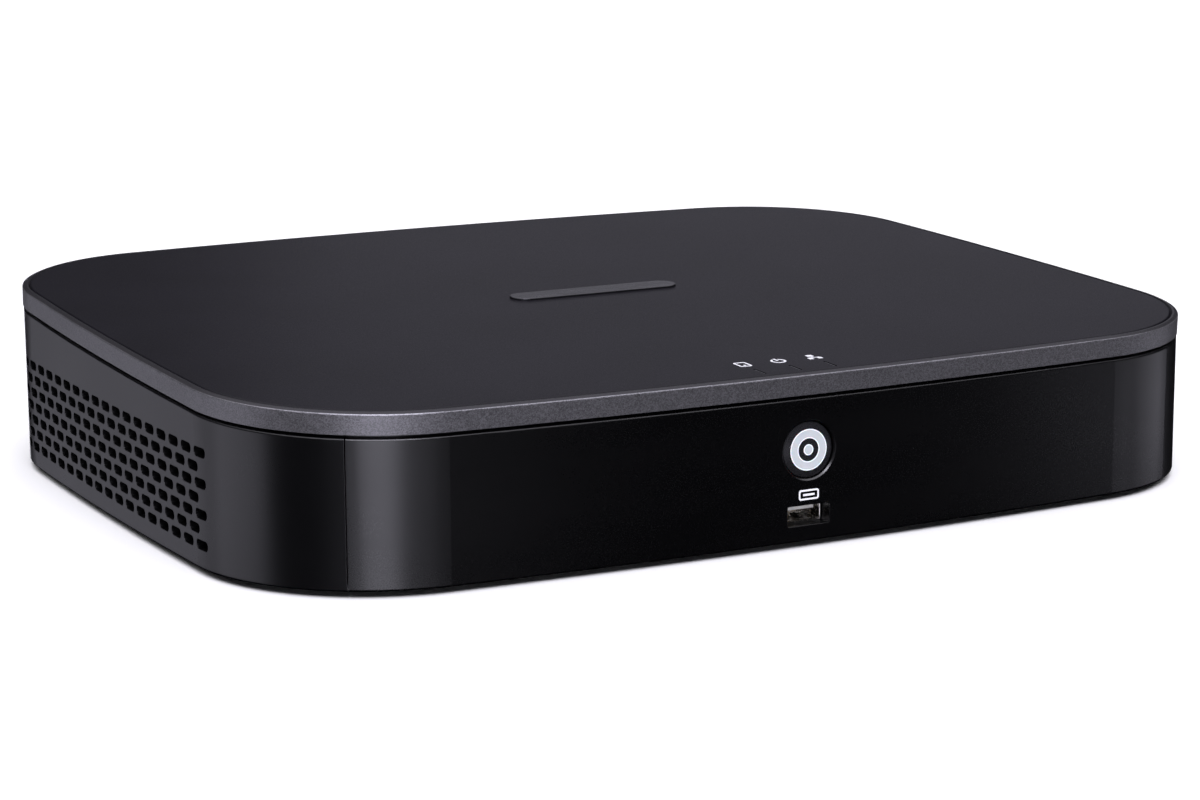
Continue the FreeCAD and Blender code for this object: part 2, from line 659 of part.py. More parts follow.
# ---------------------------------------------------------------- front controls
def button_cap():
    """A round push button with a retaining flange, a stem and seats for its light ring."""
    face = rod(0, CAP_FACE_Y, BUTTON_Z, BUTTON_R, CAP_BACK_Y - CAP_FACE_Y, BACK)
    cone = Part.makeCone(6.2, BUTTON_R, 0.55, V(0, CAP_FACE_Y, BUTTON_Z), BACK)
    shoulder = rod(0, CAP_FACE_Y, BUTTON_Z, BUTTON_R, 0.55, BACK)
    face = face.cut(shoulder.cut(cone))
    flange = rod(0, FASCIA_INNER_Y + 0.5, BUTTON_Z, 9.3, CAP_BACK_Y - FASCIA_INNER_Y - 0.5, BACK)
    stem = rod(0, CAP_BACK_Y - 0.1, BUTTON_Z, 1.6, PLUNGER_TIP_Y - 0.05 - CAP_BACK_Y + 0.1, BACK)
    seat = tube(0, CAP_FACE_Y, BUTTON_Z, RING_OUTER_R, RING_INNER_R, RING_DEPTH, BACK)
    dot = rod(0, CAP_FACE_Y, BUTTON_Z, DOT_R, RING_DEPTH, BACK)
    return face.fuse([flange, stem]).cut([seat, dot])


def button_light_ring():
    """The white ring and centre dot that light up in the button's face."""
    proud = 0.06
    ring_piece = tube(0, CAP_FACE_Y - proud, BUTTON_Z, RING_OUTER_R, RING_INNER_R, RING_DEPTH + proud, BACK)
    dot = rod(0, CAP_FACE_Y - proud, BUTTON_Z, DOT_R, RING_DEPTH + proud, BACK)
    return [ring_piece, dot]


def switch_body():
    """The tactile switch behind the button, with the bore its plunger runs in."""
    body = facing_rear(rounded_plate(6.2, 6.2, 0.5, 3.5), 0, SWITCH_FACE_Y, BUTTON_Z)
    return body.cut(rod(0, SWITCH_FACE_Y - 1, BUTTON_Z, 1.82, 3.2, BACK))


def switch_plunger():
    return rod(0, PLUNGER_TIP_Y, BUTTON_Z, 1.75, 2.6, BACK)


def front_board():
    board = box(-43, 43, FRONT_BOARD_Y, FRONT_BOARD_Y + FRONT_BOARD_T, 5, 44.5)
    holes = [rod(x, FRONT_BOARD_Y - 2, z, 1.5, 6, BACK) for x, z in FRONT_BOARD_HOLES]
    return board.cut(holes)


def indicator_lamps():
    lamps = []
    for k in (-1, 0, 1):
        x = k * ICON_X
        lamps.append(box(x - 1.5, x + 1.5, FRONT_BOARD_Y - 1.2, FRONT_BOARD_Y, LAMP_Z - 0.8, LAMP_Z + 0.8))
    return lamps


def usb_shell(length):
    """The folded steel shell of a USB socket, open at z = length."""
    shell = rounded_plate(13.2, 5.8, 0.6, length)
    inner = rounded_plate(12.5, 5.1, 0.3, length)
    inner.translate(V(0, 0, 0.4))
    return shell.cut(inner)


def usb_tongue(length):
    """The plastic tongue inside a USB socket, with its four contacts' channels."""
    tongue = box(-5.5, 5.5, 0.25, 2.05, 0.4, length)
    channels = [box(x - 0.5, x + 0.5, 0.2, 0.55, 3, length - 1.4) for x in (-3.5, -1.0, 1.0, 3.5)]
    return tongue.cut(channels)


def usb_pair(maker, length):
    """The same piece for the front socket and for the rear one."""
    front = maker(length)
    front.rotate(V(0, 0, 0), RIGHT, 90)
    front.translate(V(0, FRONT_BOARD_Y, USB_Z))
    rear = maker(length)
    rear.rotate(V(0, 0, 0), UP, 180)
    rear = facing_rear(rear, REAR_USB_X, PANEL_Y + 0.8 - USB_LEN, REAR_USB_Z)
    return [front, rear]


def port_mark():
    """A printed outline of a plug above the front USB mouth."""
    frame = rounded_plate(6.6, 3.0, 0.7, 3).cut(rounded_plate(5.6, 2.0, 0.35, 3))
    bar = box(-1.9, 1.9, -0.3, 0.3, 0, 3)
    marks = []
    for piece in (frame, bar):
        placed = facing_rear(piece, 0, FASCIA_FACE_Y - 1, USB_Z + 5.9)
        skin = ring(SHELL_INSET - INK, SHELL_INSET, 10, 20)
        marks.append(placed.common(skin))
    return marks


# ---------------------------------------------------------------- main board
def main_board():
    """An L-shaped board: a strip behind the connectors and a wider part beside the drive."""
    points = [V(-BOARD_HALF, BOARD_FRONT, BOARD_Z), V(BOARD_STEP_X, BOARD_FRONT, BOARD_Z),
              V(BOARD_STEP_X, BOARD_STEP_Y, BOARD_Z), V(BOARD_HALF, BOARD_STEP_Y, BOARD_Z),
              V(BOARD_HALF, BOARD_BACK, BOARD_Z), V(-BOARD_HALF, BOARD_BACK, BOARD_Z)]
    board = polygon_prism(points, V(0, 0, BOARD_T))
    return board.cut([rod(x, y, 0, 1.7, 20) for x, y in BOARD_HOLES])


def board_standoffs():
    posts = []
    for x, y in BOARD_HOLES:
        post = hex_prism(5.5, BOARD_Z - PLATE_TOP)
        post.translate(V(x, y, PLATE_TOP))
        posts.append(post.cut(rod(x, y, PLATE_TOP, 1.3, 20)))
    return posts


def board_screws():
    down = V(0, 0, -1)
    screws = [screw(x, y, BOARD_TOP, 1.25, 6, 2.8, 1.8, down) for x, y in BOARD_HOLES]
    for x, z in FRONT_BOARD_HOLES:
        screws.append(screw(x, FRONT_BOARD_Y + FRONT_BOARD_T, z, 1.2, 8, 2.6, 1.6, V(0, -1, 0)))
    return screws


def processor():
    base = box(CPU_X - CPU_SIZE / 2, CPU_X + CPU_SIZE / 2, CPU_Y - CPU_SIZE / 2, CPU_Y + CPU_SIZE / 2,
               BOARD_TOP, BOARD_TOP + CPU_H)
    return base.makeChamfer(0.3, edges_where(base, lambda p: p.z > BOARD_TOP + CPU_H - 0.01))


def heat_sink():
    """A block of straight fins on the processor."""
    size = 38.0
    foot = BOARD_TOP + CPU_H
    base = box(CPU_X - size / 2, CPU_X + size / 2, CPU_Y - size / 2, CPU_Y + size / 2, foot, foot + 3)
    fins = []
    count = 11
    pitch = (size - 1.2) / (count - 1)
    for k in range(count):
        x = CPU_X - size / 2 + k * pitch
        fins.append(box(x, x + 1.2, CPU_Y - size / 2, CPU_Y + size / 2, foot + 3, foot + 14))
    return base.fuse(fins).removeSplitter()


def chip(x, y, width, length, height):
    body = box(x - width / 2, x + width / 2, y - length / 2, y + length / 2, BOARD_TOP, BOARD_TOP + height)
    return body.makeChamfer(0.2, edges_where(body, lambda p: p.z > BOARD_TOP + height - 0.01))


def board_chips():
    """Memory beside the processor, video decoders by their jacks, network and audio chips."""
    chips = [chip(CPU_X + side * 31, CPU_Y + end * 9, 8, 13.5, 1.2) for side in (-1, 1) for end in (-1, 1)]
    chips += [chip(x, 82, 14, 14, 1.6) for x in (-88, -66)]
    chips += [chip(-15, 82, 9, 9, 1.4), chip(34, 84, 9, 9, 1.4)]
    chips += [chip(-6, 40, 12, 18, 1.3), chip(-98, 62, 6, 9, 1.8)]
    return chips


def surface_parts():
    """The small soldered parts, in rows round the chips."""
    parts = []
    for k in range(9):
        parts.append(box(-72 + k * 5, -70.4 + k * 5, -1.4, -0.6, BOARD_TOP, BOARD_TOP + 0.6))
        parts.append(box(-72 + k * 5, -70.4 + k * 5, 52.6, 53.4, BOARD_TOP, BOARD_TOP + 0.6))
    for k in range(7):
        parts.append(box(-97 + k * 5.5, -95.8 + k * 5.5, 69.4, 71.4, BOARD_TOP, BOARD_TOP + 0.7))
        parts.append(box(-24 + k * 4, -22.8 + k * 4, 70.4, 72.4, BOARD_TOP, BOARD_TOP + 0.7))
        parts.append(box(18, 20.2, -2 + k * 5, -0.8 + k * 5, BOARD_TOP, BOARD_TOP + 0.9))
    parts.append(rounded_bar(-6, 22, 11.4, 4.6, 3.5))
    parts.append(rounded_bar(-16, 6, 11.4, 4.6, 3.5))
    return parts


def rounded_bar(x, y, width, length, height):
    """A crystal's can."""
    bar = rounded_plate(width, length, length * 0.45, height)
    bar.translate(V(x, y, BOARD_TOP))
    return bar


def capacitors():
    """Electrolytic cans with a rolled groove near the foot and a rounded top edge."""
    cans = []
    for x, y, radius, height in CAPACITORS:
        can = rod(x, y, BOARD_TOP, radius, height)
        can = can.makeFillet(0.6, edges_where(can, lambda p: p.z > BOARD_TOP + height - 0.01))
        groove = tube(x, y, BOARD_TOP + 1.2, radius + 1, radius - 0.35, 0.7)
        cans.append(can.cut(groove))
    return cans


def inductors():
    parts = []
    for x, y in ((86, 92.5), (4, 56), (-20, 58)):
        block = rounded_plate(9.5, 9.5, 2.2, 4.5)
        block.translate(V(x, y, BOARD_TOP))
        parts.append(block.makeFillet(0.5, edges_where(block, lambda p: p.z > BOARD_TOP + 4.49)))
    return parts


def coin_cell_holder():
    holder = tube(CELL_X, CELL_Y, BOARD_TOP, 11.6, 10.2, 4.2).fuse(rod(CELL_X, CELL_Y, BOARD_TOP, 11.6, 0.9))
    finger_gap = box(CELL_X - 4, CELL_X + 4, CELL_Y + 5, CELL_Y + 14, BOARD_TOP + 0.9, BOARD_TOP + 6)
    return holder.cut(finger_gap).removeSplitter()


def coin_cell():
    can = rod(CELL_X, CELL_Y, BOARD_TOP + 0.9, 10.0, 3.2)
    return can.makeFillet(0.5, edges_where(can, lambda p: p.z > BOARD_TOP + 4.09))


def header(x, y, width, length, height):
    """A moulded board header, open at the top."""
    shell = box(x - width / 2, x + width / 2, y - length / 2, y + length / 2, BOARD_TOP, BOARD_TOP + height)
    pocket = box(x - width / 2 + 0.8, x + width / 2 - 0.8, y - length / 2 + 0.8, y + length / 2 - 0.8,
                 BOARD_TOP + 1.2, BOARD_TOP + height + 1)
    return shell.cut(pocket)


def board_headers():
    return [header(x, y, width, 7.0, 6.5) for x, y, width in BOARD_HEADERS]


# ---------------------------------------------------------------- rear connectors
def jack_housings():
    """The moulded blocks that carry each column of two jacks on the board."""
    blocks = []
    for x in BNC_X:
        block = box(x - 7.5, x + 7.5, HOUSING_FRONT, HOUSING_BACK, BOARD_TOP, JACK_ROWS[1] + 8)
        blocks.append(block.cut([rod(x, HOUSING_BACK - 4, z, 4.1, 5, BACK) for z in JACK_ROWS]))
    for x in AUDIO_X:
        block = box(x - 6, x + 6, HOUSING_FRONT + 6, HOUSING_BACK, BOARD_TOP, JACK_ROWS[1] + 6.5)
        blocks.append(block.cut([rod(x, HOUSING_BACK - 4, z, 3.4, 5, BACK) for z in JACK_ROWS]))
    return blocks


def bnc_barrels():
    """Bayonet sockets: a threaded neck, a thin barrel and two opposite lugs."""
    barrels = []
    for x in BNC_X:
        for z in JACK_ROWS:
            neck = rod(x, HOUSING_BACK, z, BNC_NECK_R, PANEL_Y + 3 - HOUSING_BACK, BACK)
            barrel = rod(x, HOUSING_BACK, z, BNC_R, BNC_END_Y - HOUSING_BACK, BACK)
            lugs = rod(x - 5.7, BNC_END_Y - 3.6, z, 1.0, 11.4, RIGHT)
            bore = rod(x, HOUSING_BACK - 1, z, 4.1, 20, BACK)
            barrels.append(neck.fuse([barrel, lugs]).cut(bore))
    return barrels


def bnc_insulators():
    plugs = []
    for x in BNC_X:
        for z in JACK_ROWS:
            wide = rod(x, HOUSING_BACK - 4, z, 4.1, 9, BACK)
            nose = rod(x, HOUSING_BACK + 5, z, 2.3, 5.5, BACK)
            plugs.append(wide.fuse(nose).cut(rod(x, HOUSING_BACK - 5, z, 1.05, 20, BACK)))
    return plugs


def jack_contacts():
    """The centre contacts of the video and audio jacks, and the power jack's pin."""
    contacts = []
    for x in BNC_X:
        for z in JACK_ROWS:
            contacts.append(tube(x, HOUSING_BACK - 4, z, 1.05, 0.5, 14.2, BACK))
    contacts.append(rod(DC_X, PANEL_Y - 10, DC_Z + 0.6, 1.0, 9.4, BACK))
    return contacts


def bnc_nuts():
    nuts = []
    for x in BNC_X:
        for z in JACK_ROWS:
            nut = facing_rear(hex_prism(14.2, 2.2), x, PANEL_Y, z)
            nuts.append(nut.cut(rod(x, PANEL_Y - 1, z, BNC_NECK_R, 6, BACK)))
    return nuts


def audio_shells():
    shells = []
    for x in AUDIO_X:
        for z in JACK_ROWS:
            neck = rod(x, HOUSING_BACK, z, AUDIO_NECK_R, 2.4, BACK)
            barrel = rod(x, HOUSING_BACK, z, AUDIO_R, AUDIO_END_Y - HOUSING_BACK, BACK)
            shells.append(neck.fuse(barrel).cut(rod(x, HOUSING_BACK - 1, z, 3.4, 20, BACK)))
    return shells


def audio_inserts():
    """The insulators of the audio jacks, each with its contact's hole."""
    inserts = []
    for x in AUDIO_X:
        for z in JACK_ROWS:
            plug = rod(x, HOUSING_BACK - 4, z, 3.4, AUDIO_END_Y - 0.6 - HOUSING_BACK + 4, BACK)
            inserts.append(plug.cut(rod(x, HOUSING_BACK - 2, z, 1.65, 20, BACK)))
    return inserts


def d_plate(width, height, depth):
    """A D-shaped plate, wider at the top, with round corners."""
    slant = height * math.tan(math.radians(10))
    half = width / 2
    points = [V(-half + slant, -height / 2, 0), V(half - slant, -height / 2, 0),
              V(half, height / 2, 0), V(-half, height / 2, 0)]
    plate = polygon_prism(points, V(0, 0, depth))
    upright = [e for e in plate.Edges if abs(e.Vertexes[0].Z - e.Vertexes[1].Z) > depth / 2]
    return plate.makeFillet(1.6, upright)


def vga_port():
    """The steel shell of the monitor socket, and the two threaded posts beside it."""
    flange = facing_rear(rounded_plate(31, 12.4, 1, 0.6), VGA_X, HOUSING_BACK - 0.6, VGA_Z)
    flange = flange.cut([rod(VGA_X + s * 12.5, 100, VGA_Z, 1.6, 20, BACK) for s in (-1, 1)])
    shell = facing_rear(d_plate(17.4, 8.6, 6.4), VGA_X, HOUSING_BACK - 0.6, VGA_Z)
    shell = shell.fuse(flange).cut(facing_rear(d_plate(16.6, 7.8, 20), VGA_X, HOUSING_BACK - 8, VGA_Z))
    posts = [shell]
    for side in (-1, 1):
        x = VGA_X + side * 12.5
        post = facing_rear(hex_prism(4.8, 5), x, PANEL_Y, VGA_Z)
        stud = rod(x, HOUSING_BACK - 4, VGA_Z, 1.5, 5.5, BACK)
        posts.append(post.fuse(stud).cut(rod(x, PANEL_Y + 1, VGA_Z, 1.25, 6, BACK)))
    return posts


def vga_insert():
    """The moulded insert with its three rows of five contact holes."""
    block = box(VGA_X - 15, VGA_X + 15, 100, HOUSING_BACK - 0.6, BOARD_TOP, VGA_Z + 6)
    nose = facing_rear(d_plate(16.4, 7.6, 5.6), VGA_X, HOUSING_BACK - 0.7, VGA_Z)
    insert = block.fuse(nose)
    holes = []
    for row in range(3):
        for k in range(5):
            x = VGA_X - 4.6 + k * 2.3 + (row - 1) * 0.6
            holes.append(rod(x, HOUSING_BACK, VGA_Z - 2.1 + row * 2.1, 0.5, 8, BACK))
    holes += [rod(VGA_X + s * 12.5, HOUSING_BACK - 5, VGA_Z, 1.55, 8, BACK) for s in (-1, 1)]
    return insert.cut(holes)


def hdmi_port():
    """The video port: a folded shell round a flat tongue."""
    shell = facing_rear(rounded_plate(15.0, 6.0, 0.8, 12.5), HDMI_X, PANEL_Y + 0.7 - 12.5, HDMI_Z)
    mouth = facing_rear(d_plate(14.0, 4.9, 10.5), HDMI_X, PANEL_Y + 0.7 - 10, HDMI_Z)
    tongue = box(HDMI_X - 6, HDMI_X + 6, PANEL_Y - 11, PANEL_Y - 1.2, HDMI_Z + 0.3, HDMI_Z + 1.4)
    stand = box(HDMI_X - 6, HDMI_X + 6, PANEL_Y - 11, PANEL_Y - 3, BOARD_TOP, HDMI_Z - 2.95)
    return shell.cut(mouth).fuse([tongue, stand]).removeSplitter()


def lan_jack():
    """The network socket: a shielded box with a stepped mouth."""
    back = PANEL_Y + 1.0
    block = box(LAN_X - 8, LAN_X + 8, back - 21, back, BOARD_TOP, BOARD_TOP + 13.4)
    mouth = box(LAN_X - 5.9, LAN_X + 5.9, back - 14, back + 1, BOARD_TOP + 3.0, BOARD_TOP + 9.6)
    latch = box(LAN_X - 3.0, LAN_X + 3.0, back - 14, back + 1, BOARD_TOP + 1.6, BOARD_TOP + 3.1)
    keyway = box(LAN_X - 1.7, LAN_X + 1.7, back - 14, back + 1, BOARD_TOP + 0.8, BOARD_TOP + 1.7)
    lamps = [box(LAN_X + s * 6 - 1.5, LAN_X + s * 6 + 1.5, back - 0.5, back + 1, BOARD_TOP + 10.6,
                 BOARD_TOP + 12.4) for s in (-1, 1)]
    return block.cut([mouth, latch, keyway] + lamps)


def dc_jack():
    """The low-voltage power socket: a round mouth in a square block."""
    block = box(DC_X - 4.5, DC_X + 4.5, PANEL_Y - 13, PANEL_Y + 0.6, BOARD_TOP, DC_Z + 5.6)
    mouth = rod(DC_X, PANEL_Y - 9, DC_Z + 0.6, 3.2, 12, BACK)
    seat = rod(DC_X, PANEL_Y - 10, DC_Z + 0.6, 1.0, 2, BACK)
    return block.cut([mouth, seat])


# ---------------------------------------------------------------- disk drive
def about_pivot(shape, degrees):
    """Turn a shape built along +X from the origin and carry it to the arm's pivot."""
    placed = shape.copy()
    placed.rotate(V(0, 0, 0), UP, degrees)
    placed.translate(V(PIVOT_X, PIVOT_Y, 0))
    return placed


def hdd_base():
    """The drive's casting, hollowed for the disc and the arm, with a recess for its board."""
    body = box(DRIVE_X, DRIVE_X + DRIVE_W, DRIVE_Y, DRIVE_Y + DRIVE_L, DRIVE_Z, LID_Z)
    upright = [e for e in body.Edges if abs(e.Vertexes[0].Z - e.Vertexes[1].Z) > 5]
    body = body.makeFillet(3, upright)
    cuts = [rod(DISC_X, DISC_Y, CAVITY_Z, DISC_R + 1.3, 40)]
    cuts.append(box(DRIVE_X + 22, DRIVE_X + 98.6, DISC_Y + 20, DRIVE_Y + 136, CAVITY_Z, 60))
    cuts.append(box(DRIVE_X + 5, DRIVE_X + 96.6, DRIVE_Y + 75, DRIVE_Y + DRIVE_L - 9,
                    DRIVE_Z - 1, DRIVE_Z + 2.2))
    cuts.append(box(DRIVE_X + 8, DRIVE_X + 54, DRIVE_Y + DRIVE_L - 10, DRIVE_Y + DRIVE_L + 1,
                    DRIVE_Z - 1, DRIVE_Z + 9.4))
    cuts += [rod(x, y, DRIVE_Z - 1, 1.75, 6) for x, y in DRIVE_HOLES]
    cuts += [rod(x, y, LID_Z - 4, 1.25, 6) for x, y in lid_screw_spots()]
    axle = rod(DISC_X, DISC_Y, CAVITY_Z - 0.5, 2.5, 16)
    pin = rod(PIVOT_X, PIVOT_Y, CAVITY_Z - 0.5, 3.0, 17)
    return body.cut(cuts).fuse([axle, pin]).removeSplitter()


def hdd_cover():
    """The drive's lid, with a raised round over the disc."""
    lid = box(DRIVE_X + 0.6, DRIVE_X + DRIVE_W - 0.6, DRIVE_Y + 0.6, DRIVE_Y + DRIVE_L - 8,
              LID_Z, LID_Z + 0.9)
    upright = [e for e in lid.Edges if abs(e.Vertexes[0].Z - e.Vertexes[1].Z) > 0.5]
    lid = lid.makeFillet(3, upright)
    dome = rod(DISC_X, DISC_Y, LID_Z + 0.5, DISC_R - 4, 1.1)
    dome = dome.makeFillet(0.5, edges_where(dome, lambda p: p.z > LID_Z + 1.59))
    lid = lid.fuse(dome)
    return lid.cut([rod(x, y, LID_Z - 1, 1.3, 5) for x, y in lid_screw_spots()])


def lid_screw_spots():
    xs = (DRIVE_X + 4.5, DRIVE_X + DRIVE_W - 4.5)
    return [(x, DRIVE_Y + y) for x in xs for y in (5, 72, 134)]


def hdd_screws():
    """The drive's mounting screws, through the base plate, and the small ones in its lid."""
    length = DRIVE_Z - PLATE_BOTTOM + 3.5
    screws = [screw(x, y, PLATE_BOTTOM, 1.7, length, 3.3, 1.9) for x, y in DRIVE_HOLES]
    for x, y in lid_screw_spots():
        screws.append(screw(x, y, LID_Z + 0.9, 1.2, 4, 2.2, 0.9, V(0, 0, -1)))
    return screws


def hdd_board():
    """The drive's controller board and, along its rear edge, the socket moulding."""
    board = box(DRIVE_X + 5.5, DRIVE_X + 96, DRIVE_Y + 75.5, DRIVE_Y + DRIVE_L - 9.5,
                DRIVE_Z + 0.4, DRIVE_Z + 1.8)
    socket = box(DRIVE_X + 9, DRIVE_X + 53, DRIVE_Y + DRIVE_L - 9.7, DRIVE_Y + DRIVE_L - 0.5,
                 DRIVE_Z + 0.4, DRIVE_Z + 8.4)
    pockets = [box(DRIVE_X + 10.5, DRIVE_X + 35, DRIVE_Y + DRIVE_L - 6.5, DRIVE_Y + DRIVE_L,
                   DRIVE_Z + 1.8, DRIVE_Z + 7.0),
               box(DRIVE_X + 37, DRIVE_X + 51.5, DRIVE_Y + DRIVE_L - 6.5, DRIVE_Y + DRIVE_L,
                   DRIVE_Z + 1.8, DRIVE_Z + 7.0)]
    return board.fuse(socket).cut(pockets)


def hdd_platter():
    """The disc on its motor hub, bored to run on the casting's axle."""
    disc = rod(DISC_X, DISC_Y, DISC_Z, DISC_R, DISC_T)
    hub = rod(DISC_X, DISC_Y, CAVITY_Z + 0.6, 12.5, DISC_Z + DISC_T + 2.2 - CAVITY_Z - 0.6)
    clamp = rod(DISC_X, DISC_Y, DISC_Z + DISC_T, 16, 1.4)
    holes = [rod(DISC_X + 8.5 * math.cos(math.radians(60 * k)), DISC_Y + 8.5 * math.sin(math.radians(60 * k)),
                 DISC_Z + 2, 1.1, 5) for k in range(6)]
    return disc.fuse([hub, clamp]).cut(holes + [rod(DISC_X, DISC_Y, 0, 2.55, 60)])


def hdd_arm():
    """The head arm: two blades that straddle the disc, a pivot barrel and the coil's fork."""
    gap = 0.5
    barrel = rod(0, 0, DISC_Z - 5, 7.0, 11)
    parts = [barrel]
    for low in (DISC_Z - gap - 0.9, DISC_Z + DISC_T + gap):
        points = [V(3, -6, low), V(ARM_LEN, -1.6, low), V(ARM_LEN, 1.6, low), V(3, 6, low)]
        parts.append(polygon_prism(points, V(0, 0, 0.9)))
    fork = [V(-4, -5, DISC_Z - 1), V(-4, 5, DISC_Z - 1), V(-24, 13, DISC_Z - 1), V(-24, -13, DISC_Z - 1)]
    parts.append(polygon_prism(fork, V(0, 0, 2.4)))
    window = [V(-10, -3.5, 0), V(-10, 3.5, 0), V(-20, 7.5, 0), V(-20, -7.5, 0)]
    arm = parts[0].fuse(parts[1:]).cut([rod(0, 0, 0, 3.06, 60), polygon_prism(window, V(0, 0, 60))])
    return about_pivot(arm, AIM + PARK_ANGLE)


def hdd_magnets():
    """The two plates of the arm's motor, one under and one over its coil."""
    plates = []
    for low, thick in ((DISC_Z - 5.5, 3.6), (DISC_Z + 2.3, 3.6)):
        sector = rod(0, 0, low, 25.5, thick).cut(rod(0, 0, low, 9.5, thick))
        wedge = polygon_prism([V(0, 0, low), V(-60, -42, low), V(-60, 42, low)], V(0, 0, thick))
        plates.append(about_pivot(sector.common(wedge), AIM + PARK_ANGLE - ARM_SWING / 2))
    legs = []
    for side in (-1, 1):
        leg = rod(-23.0, 0, CAVITY_Z, 1.6, DISC_Z - 5.5 - CAVITY_Z)
        leg.rotate(V(0, 0, 0), UP, side * 20)
        legs.append(about_pivot(leg, AIM + PARK_ANGLE - ARM_SWING / 2))
    lower = plates[0].fuse(legs)
    return [lower, plates[1]]


# ---------------------------------------------------------------- fan
def fan_frame():
    """A square frame with a round duct, and three struts that carry the motor's seat."""
    half = FAN_SIZE / 2
    frame = rounded_plate(FAN_SIZE, FAN_SIZE, 3, FAN_T).cut(rod(0, 0, -1, 18.7, FAN_T + 2))
    frame = frame.cut([rod(sx * 16, sy * 16, -1, 1.75, FAN_T + 2) for sx in (-1, 1) for sy in (-1, 1)])
    seat = rod(0, 0, FAN_T - 1.5, 10.5, 1.5)
    adds = [seat, rod(0, 0, 2.2, 1.2, FAN_T - 2.2)]
    for k in range(3):
        strut = box(9, half - 1, -1, 1, FAN_T - 1.5, FAN_T)
        strut.rotate(V(0, 0, 0), UP, 120 * k + 30)
        adds.append(strut)
    return facing_right(frame.fuse(adds).removeSplitter(), FAN_X, FAN_Y, FAN_Z)


def fan_rotor():
    """The hub and its seven pitched blades, bored to run on the frame's pin."""
    hub = rod(0, 0, 0.8, 10.2, FAN_T - 2.8)
    hub = hub.makeFillet(0.8, edges_where(hub, lambda p: p.z < 0.81))
    blades = []
    for k in range(7):
        blade = box(9.5, 18.0, -5.2, 5.2, -0.6, 0.6)
        blade.rotate(V(0, 0, 0), RIGHT, 38)
        blade.translate(V(0, 0, 4.6))
        blade.rotate(V(0, 0, 0), UP, k * 360 / 7)
        blades.append(blade)
    blades = [blade.common(rod(0, 0, 0, 18.2, FAN_T)) for blade in blades]
    rotor = hub.fuse(blades).cut(rod(0, 0, 2.0, 1.26, FAN_T))
    return facing_right(rotor, FAN_X, FAN_Y, FAN_Z)


# ---------------------------------------------------------------- internal leads
def flat_lead(points, bend_r, width, thick, across):
    """A flat lead along a bent path in a plane: straight runs joined by tangent arcs."""
    edges = []
    start = points[0]
    for k in range(1, len(points) - 1):
        corner = points[k]
        into = corner - points[k - 1]
        out = points[k + 1] - corner
        into.normalize()
        out.normalize()
        half_turn = math.acos(max(-1, min(1, into * out))) / 2
        reach = bend_r * math.tan(half_turn)
        enter, leave = corner - into * reach, corner + out * reach
        inward = out - into
        inward.normalize()
        bulge = corner + inward * (bend_r / math.cos(half_turn) - bend_r)
        edges.append(Part.makeLine(start, enter))
        edges.append(Part.Arc(enter, bulge, leave).toShape())
        start = leave
    edges.append(Part.makeLine(start, points[-1]))
    path = Part.Wire(edges)
    first = points[1] - points[0]
    first.normalize()
    thin = first.cross(across)
    corner = points[0] - across * (width / 2) - thin * (thick / 2)
    section = Part.makePolygon([corner, corner + across * width, corner + across * width + thin * thick,
                                corner + thin * thick, corner])
    return path.makePipeShell([section], True, False)


def lead_plugs():
    """The plugs in the drive's sockets, in the board's headers and behind the front board."""
    plugs = []
    for x, width in PLUG_SPOTS:
        nose = box(x - width / 2, x + width / 2, DRIVE_BACK - 5.5, DRIVE_BACK, PLUG_Z - 2.3, PLUG_Z + 2.3)
        grip = box(x - width / 2 - 0.5, x + width / 2 + 0.5, DRIVE_BACK + 0.1, DRIVE_BACK + 9,
                   PLUG_Z - 2.8, PLUG_Z + 3.2)
        key = box(x - 2, x + 2, DRIVE_BACK - 1, DRIVE_BACK + 1, PLUG_Z - 2, PLUG_Z + 2)
        plugs.append(nose.fuse([grip, key]))
    for x, y, width in BOARD_HEADERS:
        z = BOARD_TOP + 1.3
        half = width / 2 - 0.9
        plugs.append(box(x - half, x + half, y - 2.6, y + 2.6, z, z + PLUG_H))
    back = FRONT_BOARD_Y + FRONT_BOARD_T
    plugs.append(box(RIBBON_X - 6.5, RIBBON_X + 6.5, back, back + 6, RIBBON_Z - 3, RIBBON_Z + 3))
    return plugs


def drive_lead(index, width, thick):
    """A lead from one drive plug, up and over to the board header behind it."""
    x, _ = PLUG_SPOTS[index]
    start = DRIVE_BACK + 9.05
    riser = start + 7
    points = [V(x, start, PLUG_Z), V(x, riser, PLUG_Z), V(x, riser, LEAD_TOP_Z),
              V(x, HEADER_Y, LEAD_TOP_Z), V(x, HEADER_Y, BOARD_TOP + 1.35 + PLUG_H)]
    return flat_lead(points, LEAD_BEND_R, width, thick, RIGHT)


def front_lead():
    """The flat ribbon from the front board, along the base plate and up to the main board."""
    x, y, _ = BOARD_HEADERS[2]
    start = FRONT_BOARD_Y + FRONT_BOARD_T + 6.05
    floor = PLATE_TOP + 0.8
    points = [V(x, start, RIBBON_Z), V(x, start + 7, RIBBON_Z), V(x, start + 7, floor), V(x, y - 12, floor),
              V(x, y - 12, RIBBON_TOP_Z), V(x, y, RIBBON_TOP_Z), V(x, y, BOARD_TOP + 1.35 + PLUG_H)]
    return flat_lead(points, LEAD_BEND_R, 10, 0.9, RIGHT)


